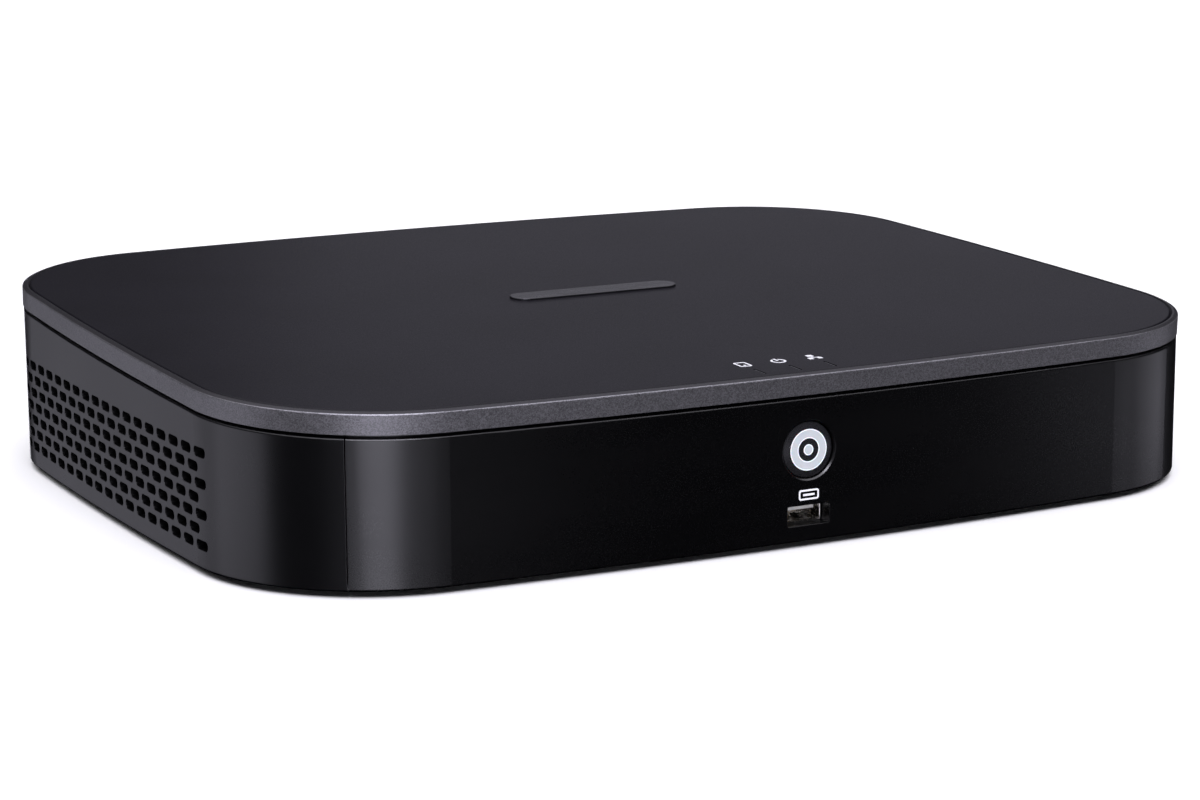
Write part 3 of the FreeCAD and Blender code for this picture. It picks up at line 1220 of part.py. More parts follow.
# ---------------------------------------------------------------- all the pieces
def main():
    os.makedirs("parts", exist_ok=True)
    save("lower_shell", lower_shell())
    save("front_fascia", front_fascia())
    save("base_plate", base_plate())
    save("rear_panel", rear_panel())
    save("rubber_feet", *rubber_feet())
    save("case_screws", *case_screws())
    save("rear_panel_screws", *rear_panel_screws())
    save("ground_screw", *ground_screw())
    save("cover_frame", cover_frame())
    save("top_panel", top_panel())
    save("badge", badge())
    save("light_pipes", *light_pipes())
    save("indicator_marks", *indicator_marks())
    save("button_cap", button_cap())
    save("button_light_ring", *button_light_ring())
    save("switch_body", switch_body())
    save("switch_plunger", switch_plunger())
    save("front_board", front_board())
    save("indicator_lamps", *indicator_lamps())
    save("usb_shells", *usb_pair(usb_shell, USB_LEN))
    save("usb_tongues", *usb_pair(usb_tongue, TONGUE_LEN))
    save("port_mark", *port_mark())
    save("main_board", main_board())
    save("board_standoffs", *board_standoffs())
    save("board_screws", *board_screws())
    save("processor", processor())
    save("heat_sink", heat_sink())
    save("board_chips", *board_chips())
    save("surface_parts", *surface_parts())
    save("capacitors", *capacitors())
    save("inductors", *inductors())
    save("coin_cell_holder", coin_cell_holder())
    save("coin_cell", coin_cell())
    save("board_headers", *board_headers())
    save("jack_housings", *jack_housings())
    save("bnc_barrels", *bnc_barrels())
    save("bnc_insulators", *bnc_insulators())
    save("jack_contacts", *jack_contacts())
    save("bnc_nuts", *bnc_nuts())
    save("audio_shells", *audio_shells())
    save("audio_inserts", *audio_inserts())
    save("vga_port", *vga_port())
    save("vga_insert", vga_insert())
    save("hdmi_port", hdmi_port())
    save("lan_jack", lan_jack())
    save("dc_jack", dc_jack())
    save("hdd_base", hdd_base())
    save("hdd_cover", hdd_cover())
    save("hdd_board", hdd_board())
    save("hdd_platter", hdd_platter())
    save("hdd_arm", hdd_arm())
    save("hdd_magnets", *hdd_magnets())
    save("hdd_screws", *hdd_screws())
    save("fan_frame", fan_frame())
    save("fan_rotor", fan_rotor())
    save("lead_plugs", *lead_plugs())
    save("data_lead", drive_lead(0, 8.0, 1.8))
    save("power_lead", drive_lead(1, 9.0, 1.6))
    save("front_lead", front_lead())


main()
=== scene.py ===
"""The looks of a desktop security video recorder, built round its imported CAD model.

Blender units are metres, in the CAD model's own frame: +X right, +Y towards the rear, +Z up.
The CAD nodes keep their shapes and get procedural finishes.  What is added here is the fine
detail that the CAD leaves out: contacts, springs, lenses, chip legs and labels.
"""

import itertools
import json
import math

import bmesh
import bpy
from mathutils import Matrix, Vector


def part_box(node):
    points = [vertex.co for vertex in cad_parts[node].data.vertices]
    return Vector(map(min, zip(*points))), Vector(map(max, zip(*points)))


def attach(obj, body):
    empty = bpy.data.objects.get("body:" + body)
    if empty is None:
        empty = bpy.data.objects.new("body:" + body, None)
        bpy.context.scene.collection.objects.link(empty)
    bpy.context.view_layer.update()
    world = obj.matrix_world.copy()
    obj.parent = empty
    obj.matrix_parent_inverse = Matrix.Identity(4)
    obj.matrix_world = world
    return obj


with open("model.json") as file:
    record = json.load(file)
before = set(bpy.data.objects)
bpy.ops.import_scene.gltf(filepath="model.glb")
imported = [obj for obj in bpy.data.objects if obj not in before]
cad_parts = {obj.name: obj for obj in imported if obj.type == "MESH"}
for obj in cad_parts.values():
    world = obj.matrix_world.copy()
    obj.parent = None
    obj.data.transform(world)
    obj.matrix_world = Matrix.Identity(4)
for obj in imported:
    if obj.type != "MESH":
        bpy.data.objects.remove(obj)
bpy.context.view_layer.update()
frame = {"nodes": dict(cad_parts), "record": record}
nodes = frame["nodes"]
MM = 0.001
RING_EDGES = (5.95, 3.3, 1.57)     # radii in millimetres of the ring's painted edge highlights: its two edges, and the dot's


# ---------------------------------------------------------------- finishes
class Finish:
    """A Principled material whose colour, gloss and relief are built up from noise.

    Every texture reads the piece's own coordinates in metres, so a scale of 1000 gives
    features about a millimetre across.  What is fixed holds one value over the whole piece.
    """

    def __init__(self, name, colour, roughness, fixed=None):
        self.material = bpy.data.materials.new(name)
        self.material.use_nodes = True
        self.material.diffuse_color = (*colour, 1)
        self.tree = self.material.node_tree
        self.shader = self.tree.nodes["Principled BSDF"]
        self.inputs = self.shader.inputs
        self.inputs["Base Color"].default_value = (*colour, 1)
        self.inputs["Roughness"].default_value = roughness
        for socket, value in (fixed or {}).items():
            self.inputs[socket].default_value = value
        self.place = self.add("ShaderNodeTexCoord").outputs["Object"]
        self.relief = None

    def add(self, kind, values=None, **settings):
        """A node with its settings made and its inputs given a value or a link."""
        node = self.tree.nodes.new(kind)
        for key, value in settings.items():
            setattr(node, key, value)
        for key, value in (values or {}).items():
            self.feed(node.inputs[key], value)
        return node

    def feed(self, socket, value):
        """Link a socket to another, or set its value."""
        if isinstance(value, bpy.types.NodeSocket):
            self.tree.links.new(value, socket)
        else:
            socket.default_value = value

    def stretched(self, stretch):
        """The piece's coordinates, scaled by a factor along each axis."""
        node = self.add("ShaderNodeVectorMath", {0: self.place, 1: stretch}, operation="MULTIPLY")
        return node.outputs["Vector"]

    def noise(self, scale, detail, stretch=(1, 1, 1)):
        values = {"Vector": self.stretched(stretch), "Scale": scale, "Detail": detail}
        return self.add("ShaderNodeTexNoise", values).outputs["Fac"]

    def cells(self, scale, output="Distance"):
        """Scattered cells: the distance from each one's middle, or its own random colour."""
        return self.add("ShaderNodeTexVoronoi", {"Vector": self.place, "Scale": scale}).outputs[output]

    def span(self, value, low, high, out_low, out_high):
        """The value's range from low to high, carried to the range between the outputs."""
        values = {"Value": value, "From Min": low, "From Max": high, "To Min": out_low, "To Max": out_high}
        return self.add("ShaderNodeMapRange", values).outputs["Result"]

    def maths(self, operation, first, second=0.0):
        return self.add("ShaderNodeMath", {0: first, 1: second}, operation=operation).outputs["Value"]

    def blend(self, factor, first, second):
        """A colour between two others."""
        node = self.add("ShaderNodeMix", data_type="RGBA")
        self.feed(node.inputs["Factor"], factor)
        for socket, colour in ((node.inputs["A"], first), (node.inputs["B"], second)):
            self.feed(socket, (*colour, 1) if isinstance(colour, tuple) else colour)
        return node.outputs["Result"]

    def axis(self, letter):
        """One of the piece's coordinates, in metres."""
        return self.add("ShaderNodeSeparateXYZ", {"Vector": self.place}).outputs[letter]

    def facing(self, letter):
        """One component of the surface's own normal."""
        normal = self.add("ShaderNodeTexCoord").outputs["Normal"]
        return self.add("ShaderNodeSeparateXYZ", {"Vector": normal}).outputs[letter]

    def distance_from(self, node, axes=(1, 1, 1)):
        """Distance in metres from the middle of a node, along the axes that are 1."""
        low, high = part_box(node)
        offset = self.add("ShaderNodeVectorMath", {0: self.place, 1: (low + high) / 2}, operation="SUBTRACT")
        kept = self.add("ShaderNodeVectorMath", {0: offset.outputs["Vector"], 1: axes}, operation="MULTIPLY")
        length = self.add("ShaderNodeVectorMath", {0: kept.outputs["Vector"]}, operation="LENGTH")
        return length.outputs["Value"]

    def rounded(self, radius):
        """Catch the light along sharp edges, as if they were rounded to the radius."""
        self.relief = self.add("ShaderNodeBevel", {"Radius": radius}, samples=4).outputs["Normal"]
        self.feed(self.inputs["Normal"], self.relief)
        return self

    def colour(self, value):
        self.feed(self.inputs["Base Color"], value)
        return self

    def gloss(self, value):
        self.feed(self.inputs["Roughness"], value)
        return self

    def bump(self, height, depth):
        """Relief of the given depth in metres, on top of any relief laid before it."""
        values = {"Height": height, "Distance": depth}
        if self.relief is not None:
            values["Normal"] = self.relief
        self.relief = self.add("ShaderNodeBump", values).outputs["Normal"]
        self.feed(self.inputs["Normal"], self.relief)
        return self


def shade(colour, factor):
    return tuple(channel * factor for channel in colour)


def moulded(name, colour, roughness, grain, depth, fixed=None):
    """Spark-textured moulding: fine grain, and faint clouds in its colour and its gloss."""
    finish = Finish(name, colour, roughness, fixed)
    clouds = finish.span(finish.noise(22, 3), 0.3, 0.7, 0, 1)
    finish.colour(finish.blend(clouds, shade(colour, 0.86), shade(colour, 1.14)))
    speckle = finish.noise(grain, 2)
    finish.gloss(finish.span(speckle, 0.3, 0.7, roughness - 0.06, roughness + 0.06))
    finish.bump(speckle, depth)
    return finish


def shell_plastic(name):
    """Smooth satin black, its gloss faintly clouded, with softened slot edges."""
    finish = Finish(name, (0.0012, 0.0012, 0.0016), 0.3, {"Specular IOR Level": 0.75})
    finish.rounded(0.25 * MM)
    clouds = finish.noise(16, 3)
    grain = finish.noise(2600, 2)
    shine = finish.span(clouds, 0.3, 0.7, 0.28, 0.31)
    finish.gloss(finish.maths("ADD", shine, finish.span(grain, 0.3, 0.7, -0.012, 0.012)))
    finish.colour(finish.blend(clouds, (0.0009, 0.0009, 0.0013), (0.0015, 0.0015, 0.0019)))
    return finish


def fascia_plastic(name):
    """Deep black with a satin shine: a very fine grain, and a trace of wiping in its gloss."""
    finish = Finish(name, (0.0006, 0.0006, 0.0008), 0.28, {"Specular IOR Level": 0.75})
    finish.rounded(0.25 * MM)
    wiped = finish.noise(14, 4, (1, 1, 3.5))
    grain = finish.noise(2400, 2)
    shine = finish.span(wiped, 0.3, 0.7, 0.26, 0.3)
    finish.gloss(finish.maths("ADD", shine, finish.span(grain, 0.3, 0.7, -0.015, 0.015)))
    dust = finish.span(grain, 0.62, 0.75, 0, 1)
    finish.colour(finish.blend(dust, (0.0006, 0.0006, 0.0008), (0.0016, 0.0016, 0.002)))
    return finish


def lid_metallic(name):
    """Satin grey lacquer whose metal flakes each catch the light a little differently, with painted shade on
    the faces that turn upwards.
    """
    fixed = {"Metallic": 0.88, "Specular IOR Level": 0.4}
    finish = Finish(name, (0.23, 0.227, 0.24), 0.42, fixed)
    flake = finish.add("ShaderNodeSeparateColor", {"Color": finish.cells(3600, "Color")}).outputs["Red"]
    clouds = finish.span(finish.noise(35, 3), 0.3, 0.7, -0.06, 0.06)
    mixed = finish.maths("ADD", flake, clouds)
    grey = finish.blend(mixed, (0.145, 0.143, 0.153), (0.31, 0.307, 0.325))
    # painted shade: faces turned upwards, such as the rim's top, are darkened to near-black
    upward_painted_shade = finish.span(finish.facing("Z"), 0.7, 0.88, 0, 1)
    finish.colour(finish.blend(upward_painted_shade, grey, (0.035, 0.034, 0.038)))
    finish.gloss(finish.span(flake, 0, 1, 0.36, 0.5))
    finish.bump(flake, 0.008 * MM)
    return finish


def badge_plastic(name):
    """Dark smoked metal, brushed along its length."""
    finish = Finish(name, (0.045, 0.044, 0.048), 0.3, {"Metallic": 0.85})
    lines = finish.noise(2600, 2, (0.03, 1, 1))
    finish.gloss(finish.span(lines, 0.3, 0.7, 0.22, 0.4))
    finish.colour(finish.blend(lines, (0.03, 0.03, 0.033), (0.075, 0.074, 0.08)))
    finish.bump(lines, 0.006 * MM)
    return finish


def brushed(name, colour, roughness, stretch, metallic=1.0, wear=0.12):
    """Rolled or plated metal: fine lines one way, and clouded tarnish."""
    finish = Finish(name, colour, roughness, {"Metallic": metallic})
    lines = finish.noise(1500, 2, stretch)
    clouds = finish.noise(60, 4)
    tarnish = finish.span(clouds, 0.3, 0.7, 0, 1)
    finish.colour(finish.blend(tarnish, shade(colour, 1 - wear), shade(colour, 1 + wear)))
    finish.gloss(finish.span(lines, 0.3, 0.7, roughness - 0.08, roughness + 0.1))
    finish.bump(lines, 0.006 * MM)
    return finish


def coated(name, colour, roughness):
    """Powder coat: an orange-peel skin."""
    finish = moulded(name, colour, roughness, 700, 0.03 * MM)
    finish.bump(finish.noise(1800, 2), 0.015 * MM)
    return finish


def clear_plastic(name):
    fixed = {"Transmission Weight": 0.85, "IOR": 1.49}
    finish = Finish(name, (0.35, 0.36, 0.38), 0.35, fixed)
    finish.gloss(finish.span(finish.noise(900, 2), 0.3, 0.7, 0.28, 0.45))
    return finish


def white_ink(name):
    """Printed white ink: slightly uneven, with a soft grain."""
    finish = Finish(name, (0.8, 0.81, 0.83), 0.5)
    patches = finish.noise(1400, 2)
    finish.colour(finish.blend(patches, (0.66, 0.67, 0.69), (0.86, 0.87, 0.89)))
    finish.bump(patches, 0.004 * MM)
    return finish


def ring_plastic(name):
    """Milky light guide, with a painted highlight along the ring's edges and the dot's."""
    fixed = {"Subsurface Weight": 0.3, "Subsurface Scale": 0.5 * MM, "Specular IOR Level": 0.4}
    finish = Finish(name, (0.5, 0.52, 0.55), 0.32, fixed)
    reach = finish.distance_from("button_light_ring", (1, 0, 1))
    # painted highlight: a pale band within about 0.4 mm of each edge radius
    painted_edge_highlight = 0.0
    for radius in RING_EDGES:
        offset = finish.maths("ABSOLUTE", finish.maths("SUBTRACT", reach, radius * MM))
        painted_edge_highlight = finish.maths("MAXIMUM", painted_edge_highlight, finish.span(offset, 0.15 * MM, 0.4 * MM, 1, 0))
    cloudy = finish.blend(finish.noise(320, 3), (0.42, 0.455, 0.47), (0.5, 0.535, 0.55))
    finish.colour(finish.blend(painted_edge_highlight, cloudy, (0.85, 0.86, 0.88)))
    finish.gloss(finish.span(finish.noise(2500, 2), 0.3, 0.7, 0.26, 0.4))
    return finish


def rubber(name):
    fixed = {"Sheen Weight": 0.15, "Sheen Roughness": 0.5, "Specular IOR Level": 0.3}
    return moulded(name, (0.014, 0.014, 0.014), 0.78, 1500, 0.03 * MM, fixed)


def board_green(name):
    """Solder mask over copper: tracks in two directions, planes, and gold vias."""
    finish = Finish(name, (0.01, 0.085, 0.034), 0.34, {"Coat Weight": 0.35, "Coat Roughness": 0.2})
    bricks = {"Vector": finish.place, "Scale": 210.0, "Mortar Size": 0.035, "Mortar Smooth": 0.2}
    tracks = finish.add("ShaderNodeTexBrick", bricks).outputs["Fac"]
    planes = finish.span(finish.noise(38, 1), 0.5, 0.53, 0, 1)
    shown = finish.maths("MULTIPLY", tracks, finish.maths("SUBTRACT", 1.0, planes))
    ground = finish.blend(planes, (0.008, 0.06, 0.025), (0.014, 0.105, 0.042))
    copper = finish.blend(shown, ground, (0.024, 0.17, 0.068))
    spot = finish.cells(330)
    via = finish.span(spot, 0.1, 0.13, 1, 0)
    chosen = finish.span(finish.noise(85, 1), 0.52, 0.55, 0, 1)
    via = finish.maths("MULTIPLY", via, chosen)
    finish.colour(finish.blend(via, copper, (0.55, 0.4, 0.14)))
    finish.bump(finish.maths("ADD", shown, via), 0.02 * MM)
    return finish


def capacitor_can(name):
    """A printed sleeve round the can, and the bare scored top."""
    finish = Finish(name, (0.6, 0.6, 0.62), 0.3)
    top = finish.span(finish.facing("Z"), 0.8, 0.9, 0, 1)
    sleeve = finish.blend(finish.noise(200, 2), (0.008, 0.012, 0.03), (0.014, 0.02, 0.045))
    bare = finish.blend(finish.noise(900, 2), (0.5, 0.5, 0.52), (0.7, 0.7, 0.72))
    finish.colour(finish.blend(top, sleeve, bare))
    finish.feed(finish.inputs["Metallic"], top)
    finish.gloss(finish.span(top, 0, 1, 0.38, 0.28))
    finish.bump(finish.noise(1200, 2), 0.004 * MM)
    return finish


def platter_mirror(name):
    """Polished disc with the faint rings of its lubricant."""
    finish = Finish(name, (0.86, 0.86, 0.85), 0.05, {"Metallic": 1.0})
    reach = finish.distance_from("hdd_platter")
    rings = finish.maths("SINE", finish.maths("MULTIPLY", reach, 5000.0))
    finish.gloss(finish.span(rings, -1, 1, 0.04, 0.09))
    finish.colour(finish.blend(finish.noise(30, 2), (0.8, 0.8, 0.79), (0.9, 0.9, 0.89)))
    return finish


def lead_jacket(name, colour, ribs=0):
    """A flexible jacket, grooved between its cores when ribs, in radians a metre, are given."""
    finish = moulded(name, colour, 0.42, 1400, 0.01 * MM, {"Subsurface Weight": 0.1, "Subsurface Scale": MM})
    if ribs:
        wave = finish.maths("SINE", finish.maths("MULTIPLY", finish.axis("X"), ribs))
        finish.bump(wave, 0.12 * MM)
    return finish


def lens(name, colour):
    """A small tinted window."""
    finish = Finish(name, colour, 0.2, {"Transmission Weight": 0.4, "IOR": 1.5})
    tint = finish.noise(600, 2)
    finish.colour(finish.blend(tint, shade(colour, 0.75), shade(colour, 1.1)))
    return finish


def label_paper(name):
    """Blank white label stock with a fibrous surface."""
    finish = Finish(name, (0.72, 0.72, 0.7), 0.55)
    fibres = finish.noise(900, 3)
    finish.colour(finish.blend(fibres, (0.66, 0.66, 0.64), (0.78, 0.78, 0.76)))
    finish.bump(fibres, 0.004 * MM)
    return finish


# Each material slot's maker, with what it takes after the slot's name.
FINISHES = {
    "shell_plastic": (shell_plastic,),
    "fascia_plastic": (fascia_plastic,),
    "lid_metallic": (lid_metallic,),
    "panel_plastic": (moulded, (0.0065, 0.0061, 0.0085), 0.4, 3200, 0.02 * MM, {"IOR": 1.2}),
    "badge_plastic": (badge_plastic,),
    "plated_steel": (brushed, (0.55, 0.56, 0.57), 0.36, (1, 0.05, 1)),
    "black_steel": (coated, (0.013, 0.013, 0.014), 0.48),
    "rubber": (rubber,),
    "black_screw": (brushed, (0.03, 0.03, 0.032), 0.36, (1, 1, 0.2), 0.8),
    "clear_plastic": (clear_plastic,),
    "white_ink": (white_ink,),
    "button_plastic": (moulded, (0.01, 0.01, 0.0115), 0.3, 2600, 0.004 * MM),
    "ring_plastic": (ring_plastic,),
    "board_green": (board_green,),
    "lamp": (moulded, (0.7, 0.7, 0.6), 0.25, 1800, 0.004 * MM),
    "chip_black": (moulded, (0.014, 0.014, 0.015), 0.52, 3200, 0.01 * MM),
    "nickel": (brushed, (0.6, 0.585, 0.55), 0.2, (1, 1, 0.3), 1.0, 0.06),
    "brass_part": (brushed, (0.56, 0.4, 0.16), 0.26, (1, 1, 0.2)),
    "gold": (brushed, (0.83, 0.58, 0.2), 0.2, (1, 0.2, 1), 1.0, 0.05),
    "ptfe": (moulded, (0.72, 0.72, 0.69), 0.38, 1800, 0.004 * MM),
    "black_plastic": (moulded, (0.011, 0.011, 0.012), 0.4, 2000, 0.01 * MM),
    "white_plastic": (moulded, (0.82, 0.81, 0.78), 0.4, 2000, 0.006 * MM),
    "blue_plastic": (moulded, (0.012, 0.045, 0.3), 0.4, 2000, 0.006 * MM),
    "audio_plastic": (moulded, (0.5, 0.02, 0.018), 0.36, 2000, 0.006 * MM),
    "heat_sink_alu": (brushed, (0.2, 0.21, 0.235), 0.36, (1, 0.05, 1), 0.9),
    "cast_alu": (coated, (0.26, 0.265, 0.275), 0.42),
    "capacitor_can": (capacitor_can,),
    "cell_steel": (brushed, (0.62, 0.62, 0.61), 0.28, (1, 0.06, 1)),
    "platter_mirror": (platter_mirror,),
    "red_lead": (lead_jacket, (0.42, 0.012, 0.01)),
    "yellow_lead": (lead_jacket, (0.42, 0.26, 0.015), 2800),
    "grey_ribbon": (lead_jacket, (0.3, 0.3, 0.32), 4900),
}
finished = {}


def finish_of(slot):
    """The material of a slot, made the first time it is asked for."""
    if slot not in finished:
        maker, *settings = FINISHES[slot]
        finished[slot] = maker(slot, *settings).material
    return finished[slot]


def dress_nodes():
    """Give every CAD node the finish of its slot."""
    for part in frame["record"]["subparts"]:
        mesh = nodes[part["node"]].data
        mesh.materials.clear()
        mesh.materials.append(finish_of(part["material_slot"]))


# ---------------------------------------------------------------- stage, lights, camera
TARGET = Vector((0, 0, 33.25 * MM))        # the point the camera is set out from


def camera():
    """A long lens, a little above the lid, looking at the front left corner."""
    azimuth = math.radians(-28.07)
    elevation = math.radians(11.365)
    roll = math.radians(-0.334)
    distance = 942.5 * MM
    across, along = -2.02 * MM, 12.95 * MM     # where the target lies, off the picture's middle
    back = Vector((math.sin(azimuth) * math.cos(elevation), -math.cos(azimuth) * math.cos(elevation),
                   math.sin(elevation)))
    right = Vector((math.cos(azimuth), math.sin(azimuth), 0))
    up = back.cross(right)
    right, up = (right * math.cos(roll) + up * math.sin(roll), up * math.cos(roll) - right * math.sin(roll))
    lens_data = bpy.data.cameras.new("camera")
    lens_data.lens = 89.1
    lens_data.sensor_width = 36
    lens_data.clip_start = 0.01
    lens_data.clip_end = 100
    body = bpy.data.objects.new("camera", lens_data)
    turn = Matrix((right, up, back)).transposed()
    place = TARGET + back * distance - right * across - up * along
    body.matrix_world = Matrix.Translation(place) @ turn.to_4x4()
    bpy.context.scene.collection.objects.link(body)
    bpy.context.scene.camera = body


def floor():
    """A pale, faintly clouded surface that runs out past the horizon."""
    size = 60
    mesh = bpy.data.meshes.new("floor")
    corners = [(x * size, y * size, 0) for x, y in ((-1, -1), (1, -1), (1, 1), (-1, 1))]
    mesh.from_pydata(corners, [], [(0, 1, 2, 3)])
    ground = bpy.data.objects.new("floor", mesh)
    ground.visible_glossy = False          # the upright walls mirror the cards, not the floor
    ground.visible_shadow = False
    bpy.context.scene.collection.objects.link(ground)
    finish = Finish("floor", (0.95, 0.96, 0.92), 0.9, {"Specular IOR Level": 0.1})
    finish.colour(finish.blend(finish.noise(3, 2), (0.945, 0.955, 0.915), (0.955, 0.965, 0.925)))
    mesh.materials.append(finish.material)


def card(name, azimuth, elevation, reach, size, radiance, about):
    """A lit white card that faces a spot beside the case and shows only through its light.

    The azimuth runs in degrees from the front towards the left.  A card below the level of
    the floor is what the upright walls mirror, because the camera looks down on them.
    """
    turn, rise = math.radians(azimuth), math.radians(elevation)
    way = Vector((-math.sin(turn) * math.cos(rise), -math.cos(turn) * math.cos(rise), math.sin(rise)))
    data = bpy.data.lights.new(name, "AREA")
    data.shape = "RECTANGLE"
    data.size, data.size_y = size
    data.energy = radiance * math.pi * size[0] * size[1]
    data.color = (1.02, 1.0, 1.15)
    light = bpy.data.objects.new(name, data)
    light.location = Vector((*about, 0.03)) + way * reach
    light.rotation_euler = (-way).to_track_quat("-Z", "Y").to_euler()
    light.visible_camera = False
    bpy.context.scene.collection.objects.link(light)


def dome():
    """Studio sky: bright overhead and dark at the horizon, so that level gloss stays dark."""
    world = bpy.data.worlds.new("studio")
    world.use_nodes = True
    bpy.context.scene.world = world
    tree = world.node_tree
    link = tree.links.new
    backdrop = tree.nodes["Background"]
    backdrop.inputs["Color"].default_value = (1, 1, 1, 1)
    sky = tree.nodes.new("ShaderNodeBackground")
    sky.inputs["Color"].default_value = (0.97, 0.95, 1.03, 1)
    height = tree.nodes.new("ShaderNodeSeparateXYZ")
    link(tree.nodes.new("ShaderNodeTexCoord").outputs["Generated"], height.inputs["Vector"])
    fade = tree.nodes.new("ShaderNodeMapRange")
    fade.interpolation_type = "SMOOTHSTEP"
    for key, value in (("From Min", 0.45), ("From Max", 0.85), ("To Min", 0.0), ("To Max", 2.0)):
        fade.inputs[key].default_value = value
    link(height.outputs["Z"], fade.inputs["Value"])
    link(fade.outputs["Result"], sky.inputs["Strength"])
    choose = tree.nodes.new("ShaderNodeMixShader")
    link(tree.nodes.new("ShaderNodeLightPath").outputs["Is Camera Ray"], choose.inputs["Fac"])
    link(sky.outputs["Background"], choose.inputs[1])
    link(backdrop.outputs["Background"], choose.inputs[2])
    link(choose.outputs["Shader"], tree.nodes["World Output"].inputs["Surface"])


def studio():
    """The sky, the floor, and the cards that each wall and corner mirrors."""
    dome()
    floor()
    left_wall, left_corner, right_corner = (-0.16, -0.02), (-0.13, -0.11), (0.15, -0.12)
    # Each has its azimuth, elevation, reach, width and height, radiance, and the spot it faces.
    card("left_card", 108, -11, 1.5, (1.05, 0.45), 0.85, left_wall)
    card("left_back_card", 148, -11, 1.5, (1.2, 0.45), 0.42, left_wall)
    card("strip", 23.5, -4, 1.5, (0.6, 0.8), 2.5, left_corner)
    card("strip_edge", -2, -11, 1.5, (0.55, 0.4), 0.5, left_corner)
    card("right_card", -81, -11, 1.5, (0.95, 0.14), 1.05, right_corner)
    card("right_edge", -52, -11, 1.5, (0.42, 0.14), 1.1, right_corner)
    card("rear_card", 203, -8, 1.6, (1.1, 0.5), 2.4, (0, 0.12))
    card("back_card", 216, 14, 2.0, (1.2, 0.4), 0.42, (0, 0))
    card("key_card", 22, 42, 2.0, (1.2, 0.8), 7.5, (0, 0))


# ---------------------------------------------------------------- mesh helpers
def in_mm(node):
    """The low and high corners of a node's box, in millimetres."""
    low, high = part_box(node)
    return low / MM, high / MM


def piece(name, mesh_parts, slot, body, material=None):
    """Join bmesh solids into one named piece that rides on a body."""
    whole = bmesh.new()
    for part in mesh_parts:
        scratch = bpy.data.meshes.new("scratch")
        part.to_mesh(scratch)
        whole.from_mesh(scratch)
        bpy.data.meshes.remove(scratch)
        part.free()
    bmesh.ops.recalc_face_normals(whole, faces=whole.faces)
    mesh = bpy.data.meshes.new(name)
    whole.to_mesh(mesh)
    whole.free()
    mesh.materials.append(material or finish_of(slot))
    joined = bpy.data.objects.new(name, mesh)
    bpy.context.scene.collection.objects.link(joined)
    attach(joined, body)


def bar(low, high, bevel=0.0):
    """A box between two corners in millimetres, with its edges rounded when a bevel is given."""
    solid = bmesh.new()
    bmesh.ops.create_cube(solid, size=1)
    low, high = Vector(low) * MM, Vector(high) * MM
    for vertex in solid.verts:
        vertex.co = Vector([(a + b) / 2 + v * (b - a) for a, b, v in zip(low, high, vertex.co)])
    if bevel:
        bmesh.ops.bevel(solid, geom=solid.edges[:], offset=bevel * MM, segments=2, affect="EDGES",
                        profile=0.5)
    return solid


def strip(path, across, width, thick):
    """A flat spring or leg: a rectangular section carried along points in millimetres."""
    solid = bmesh.new()
    across = Vector(across).normalized()
    points = [Vector(p) * MM for p in path]
    sections = []
    for k, point in enumerate(points):
        along = (points[min(k + 1, len(points) - 1)] - points[max(k - 1, 0)]).normalized()
        up = along.cross(across).normalized() * (thick * MM / 2)
        side = across * (width * MM / 2)
        corners = ((1, 1), (-1, 1), (-1, -1), (1, -1))
        sections.append([solid.verts.new(point + a * side + b * up) for a, b in corners])
    for first, second in zip(sections, sections[1:]):
        for k in range(4):
            solid.faces.new((first[k], first[(k + 1) % 4], second[(k + 1) % 4], second[k]))
    solid.faces.new(sections[0][::-1])
    solid.faces.new(sections[-1])
    return solid


def disc(centre, axis, radius, thick, sides=32):
    """A flat round plate in millimetres, standing off its centre along an axis."""
    solid = bmesh.new()
    turn = Vector(axis).to_track_quat("Z", "Y").to_matrix().to_4x4()
    place = Matrix.Translation((Vector(centre) + Vector(axis) * thick / 2) * MM) @ turn
    bmesh.ops.create_cone(solid, cap_ends=True, segments=sides, radius1=radius * MM, radius2=radius * MM,
                          depth=thick * MM, matrix=place)
    return solid


# ---------------------------------------------------------------- fine detail
USB_WIDTH, USB_HEIGHT = 13.2, 5.8      # a type A socket's shell, in millimetres

# The main board's flat chips: middle x and y, width and length in millimetres, and how many
# legs stand along each end and along each side.
CHIPS = (
    (-88, 82, 14, 14, 16, 16),
    (-66, 82, 14, 14, 16, 16),
    (-15, 82, 9, 9, 10, 10),
    (34, 84, 9, 9, 10, 10),
    (-6, 40, 12, 18, 14, 0),
)


def usb_contacts(name, mouth, inward):
    """Four gold contacts under a USB tongue; inward is +1 when the socket opens to the front."""
    tip, face = mouth.y + inward * 1.9, mouth.z + 0.25       # the tongue's end and its underside
    contacts = []
    for offset, lead_in in ((-3.5, 0.6), (-1.0, 1.6), (1.0, 1.6), (3.5, 0.6)):
        profile = ((lead_in, 0.22), (lead_in + 1.0, -0.12), (lead_in + 3.0, -0.12), (11.0, 0.1))
        path = [(mouth.x + offset, tip + inward * depth, face + rise) for depth, rise in profile]
        contacts.append(strip(path, (1, 0, 0), 0.9, 0.16))
    piece(name, contacts, "gold", "case")


def usb_springs(name, mouth, inward):
    """The leaf springs that press up from the floor of a USB socket."""
    sill = mouth.z - USB_HEIGHT / 2 + 0.35
    profile = ((1.4, 0.12), (5.0, 0.95), (6.4, 0.8), (8.9, 0.12))
    springs = []
    for side in (-1, 1):
        path = [(mouth.x + side * 3.0, mouth.y + inward * depth, sill + rise) for depth, rise in profile]
        springs.append(strip(path, (1, 0, 0), 2.0, 0.2))
    piece(name, springs, "nickel", "case")


def usb_lip(name, mouth):
    """The rolled front edges of a USB socket's two side walls."""
    half, tall = USB_WIDTH / 2 - 0.25, 4.2
    feet = [(mouth.x + side * half, mouth.y - 0.1, mouth.z - tall / 2) for side in (-1, 1)]
    piece(name, [disc(foot, (0, 0, 1), 0.26, tall, 16) for foot in feet], "nickel", "case")


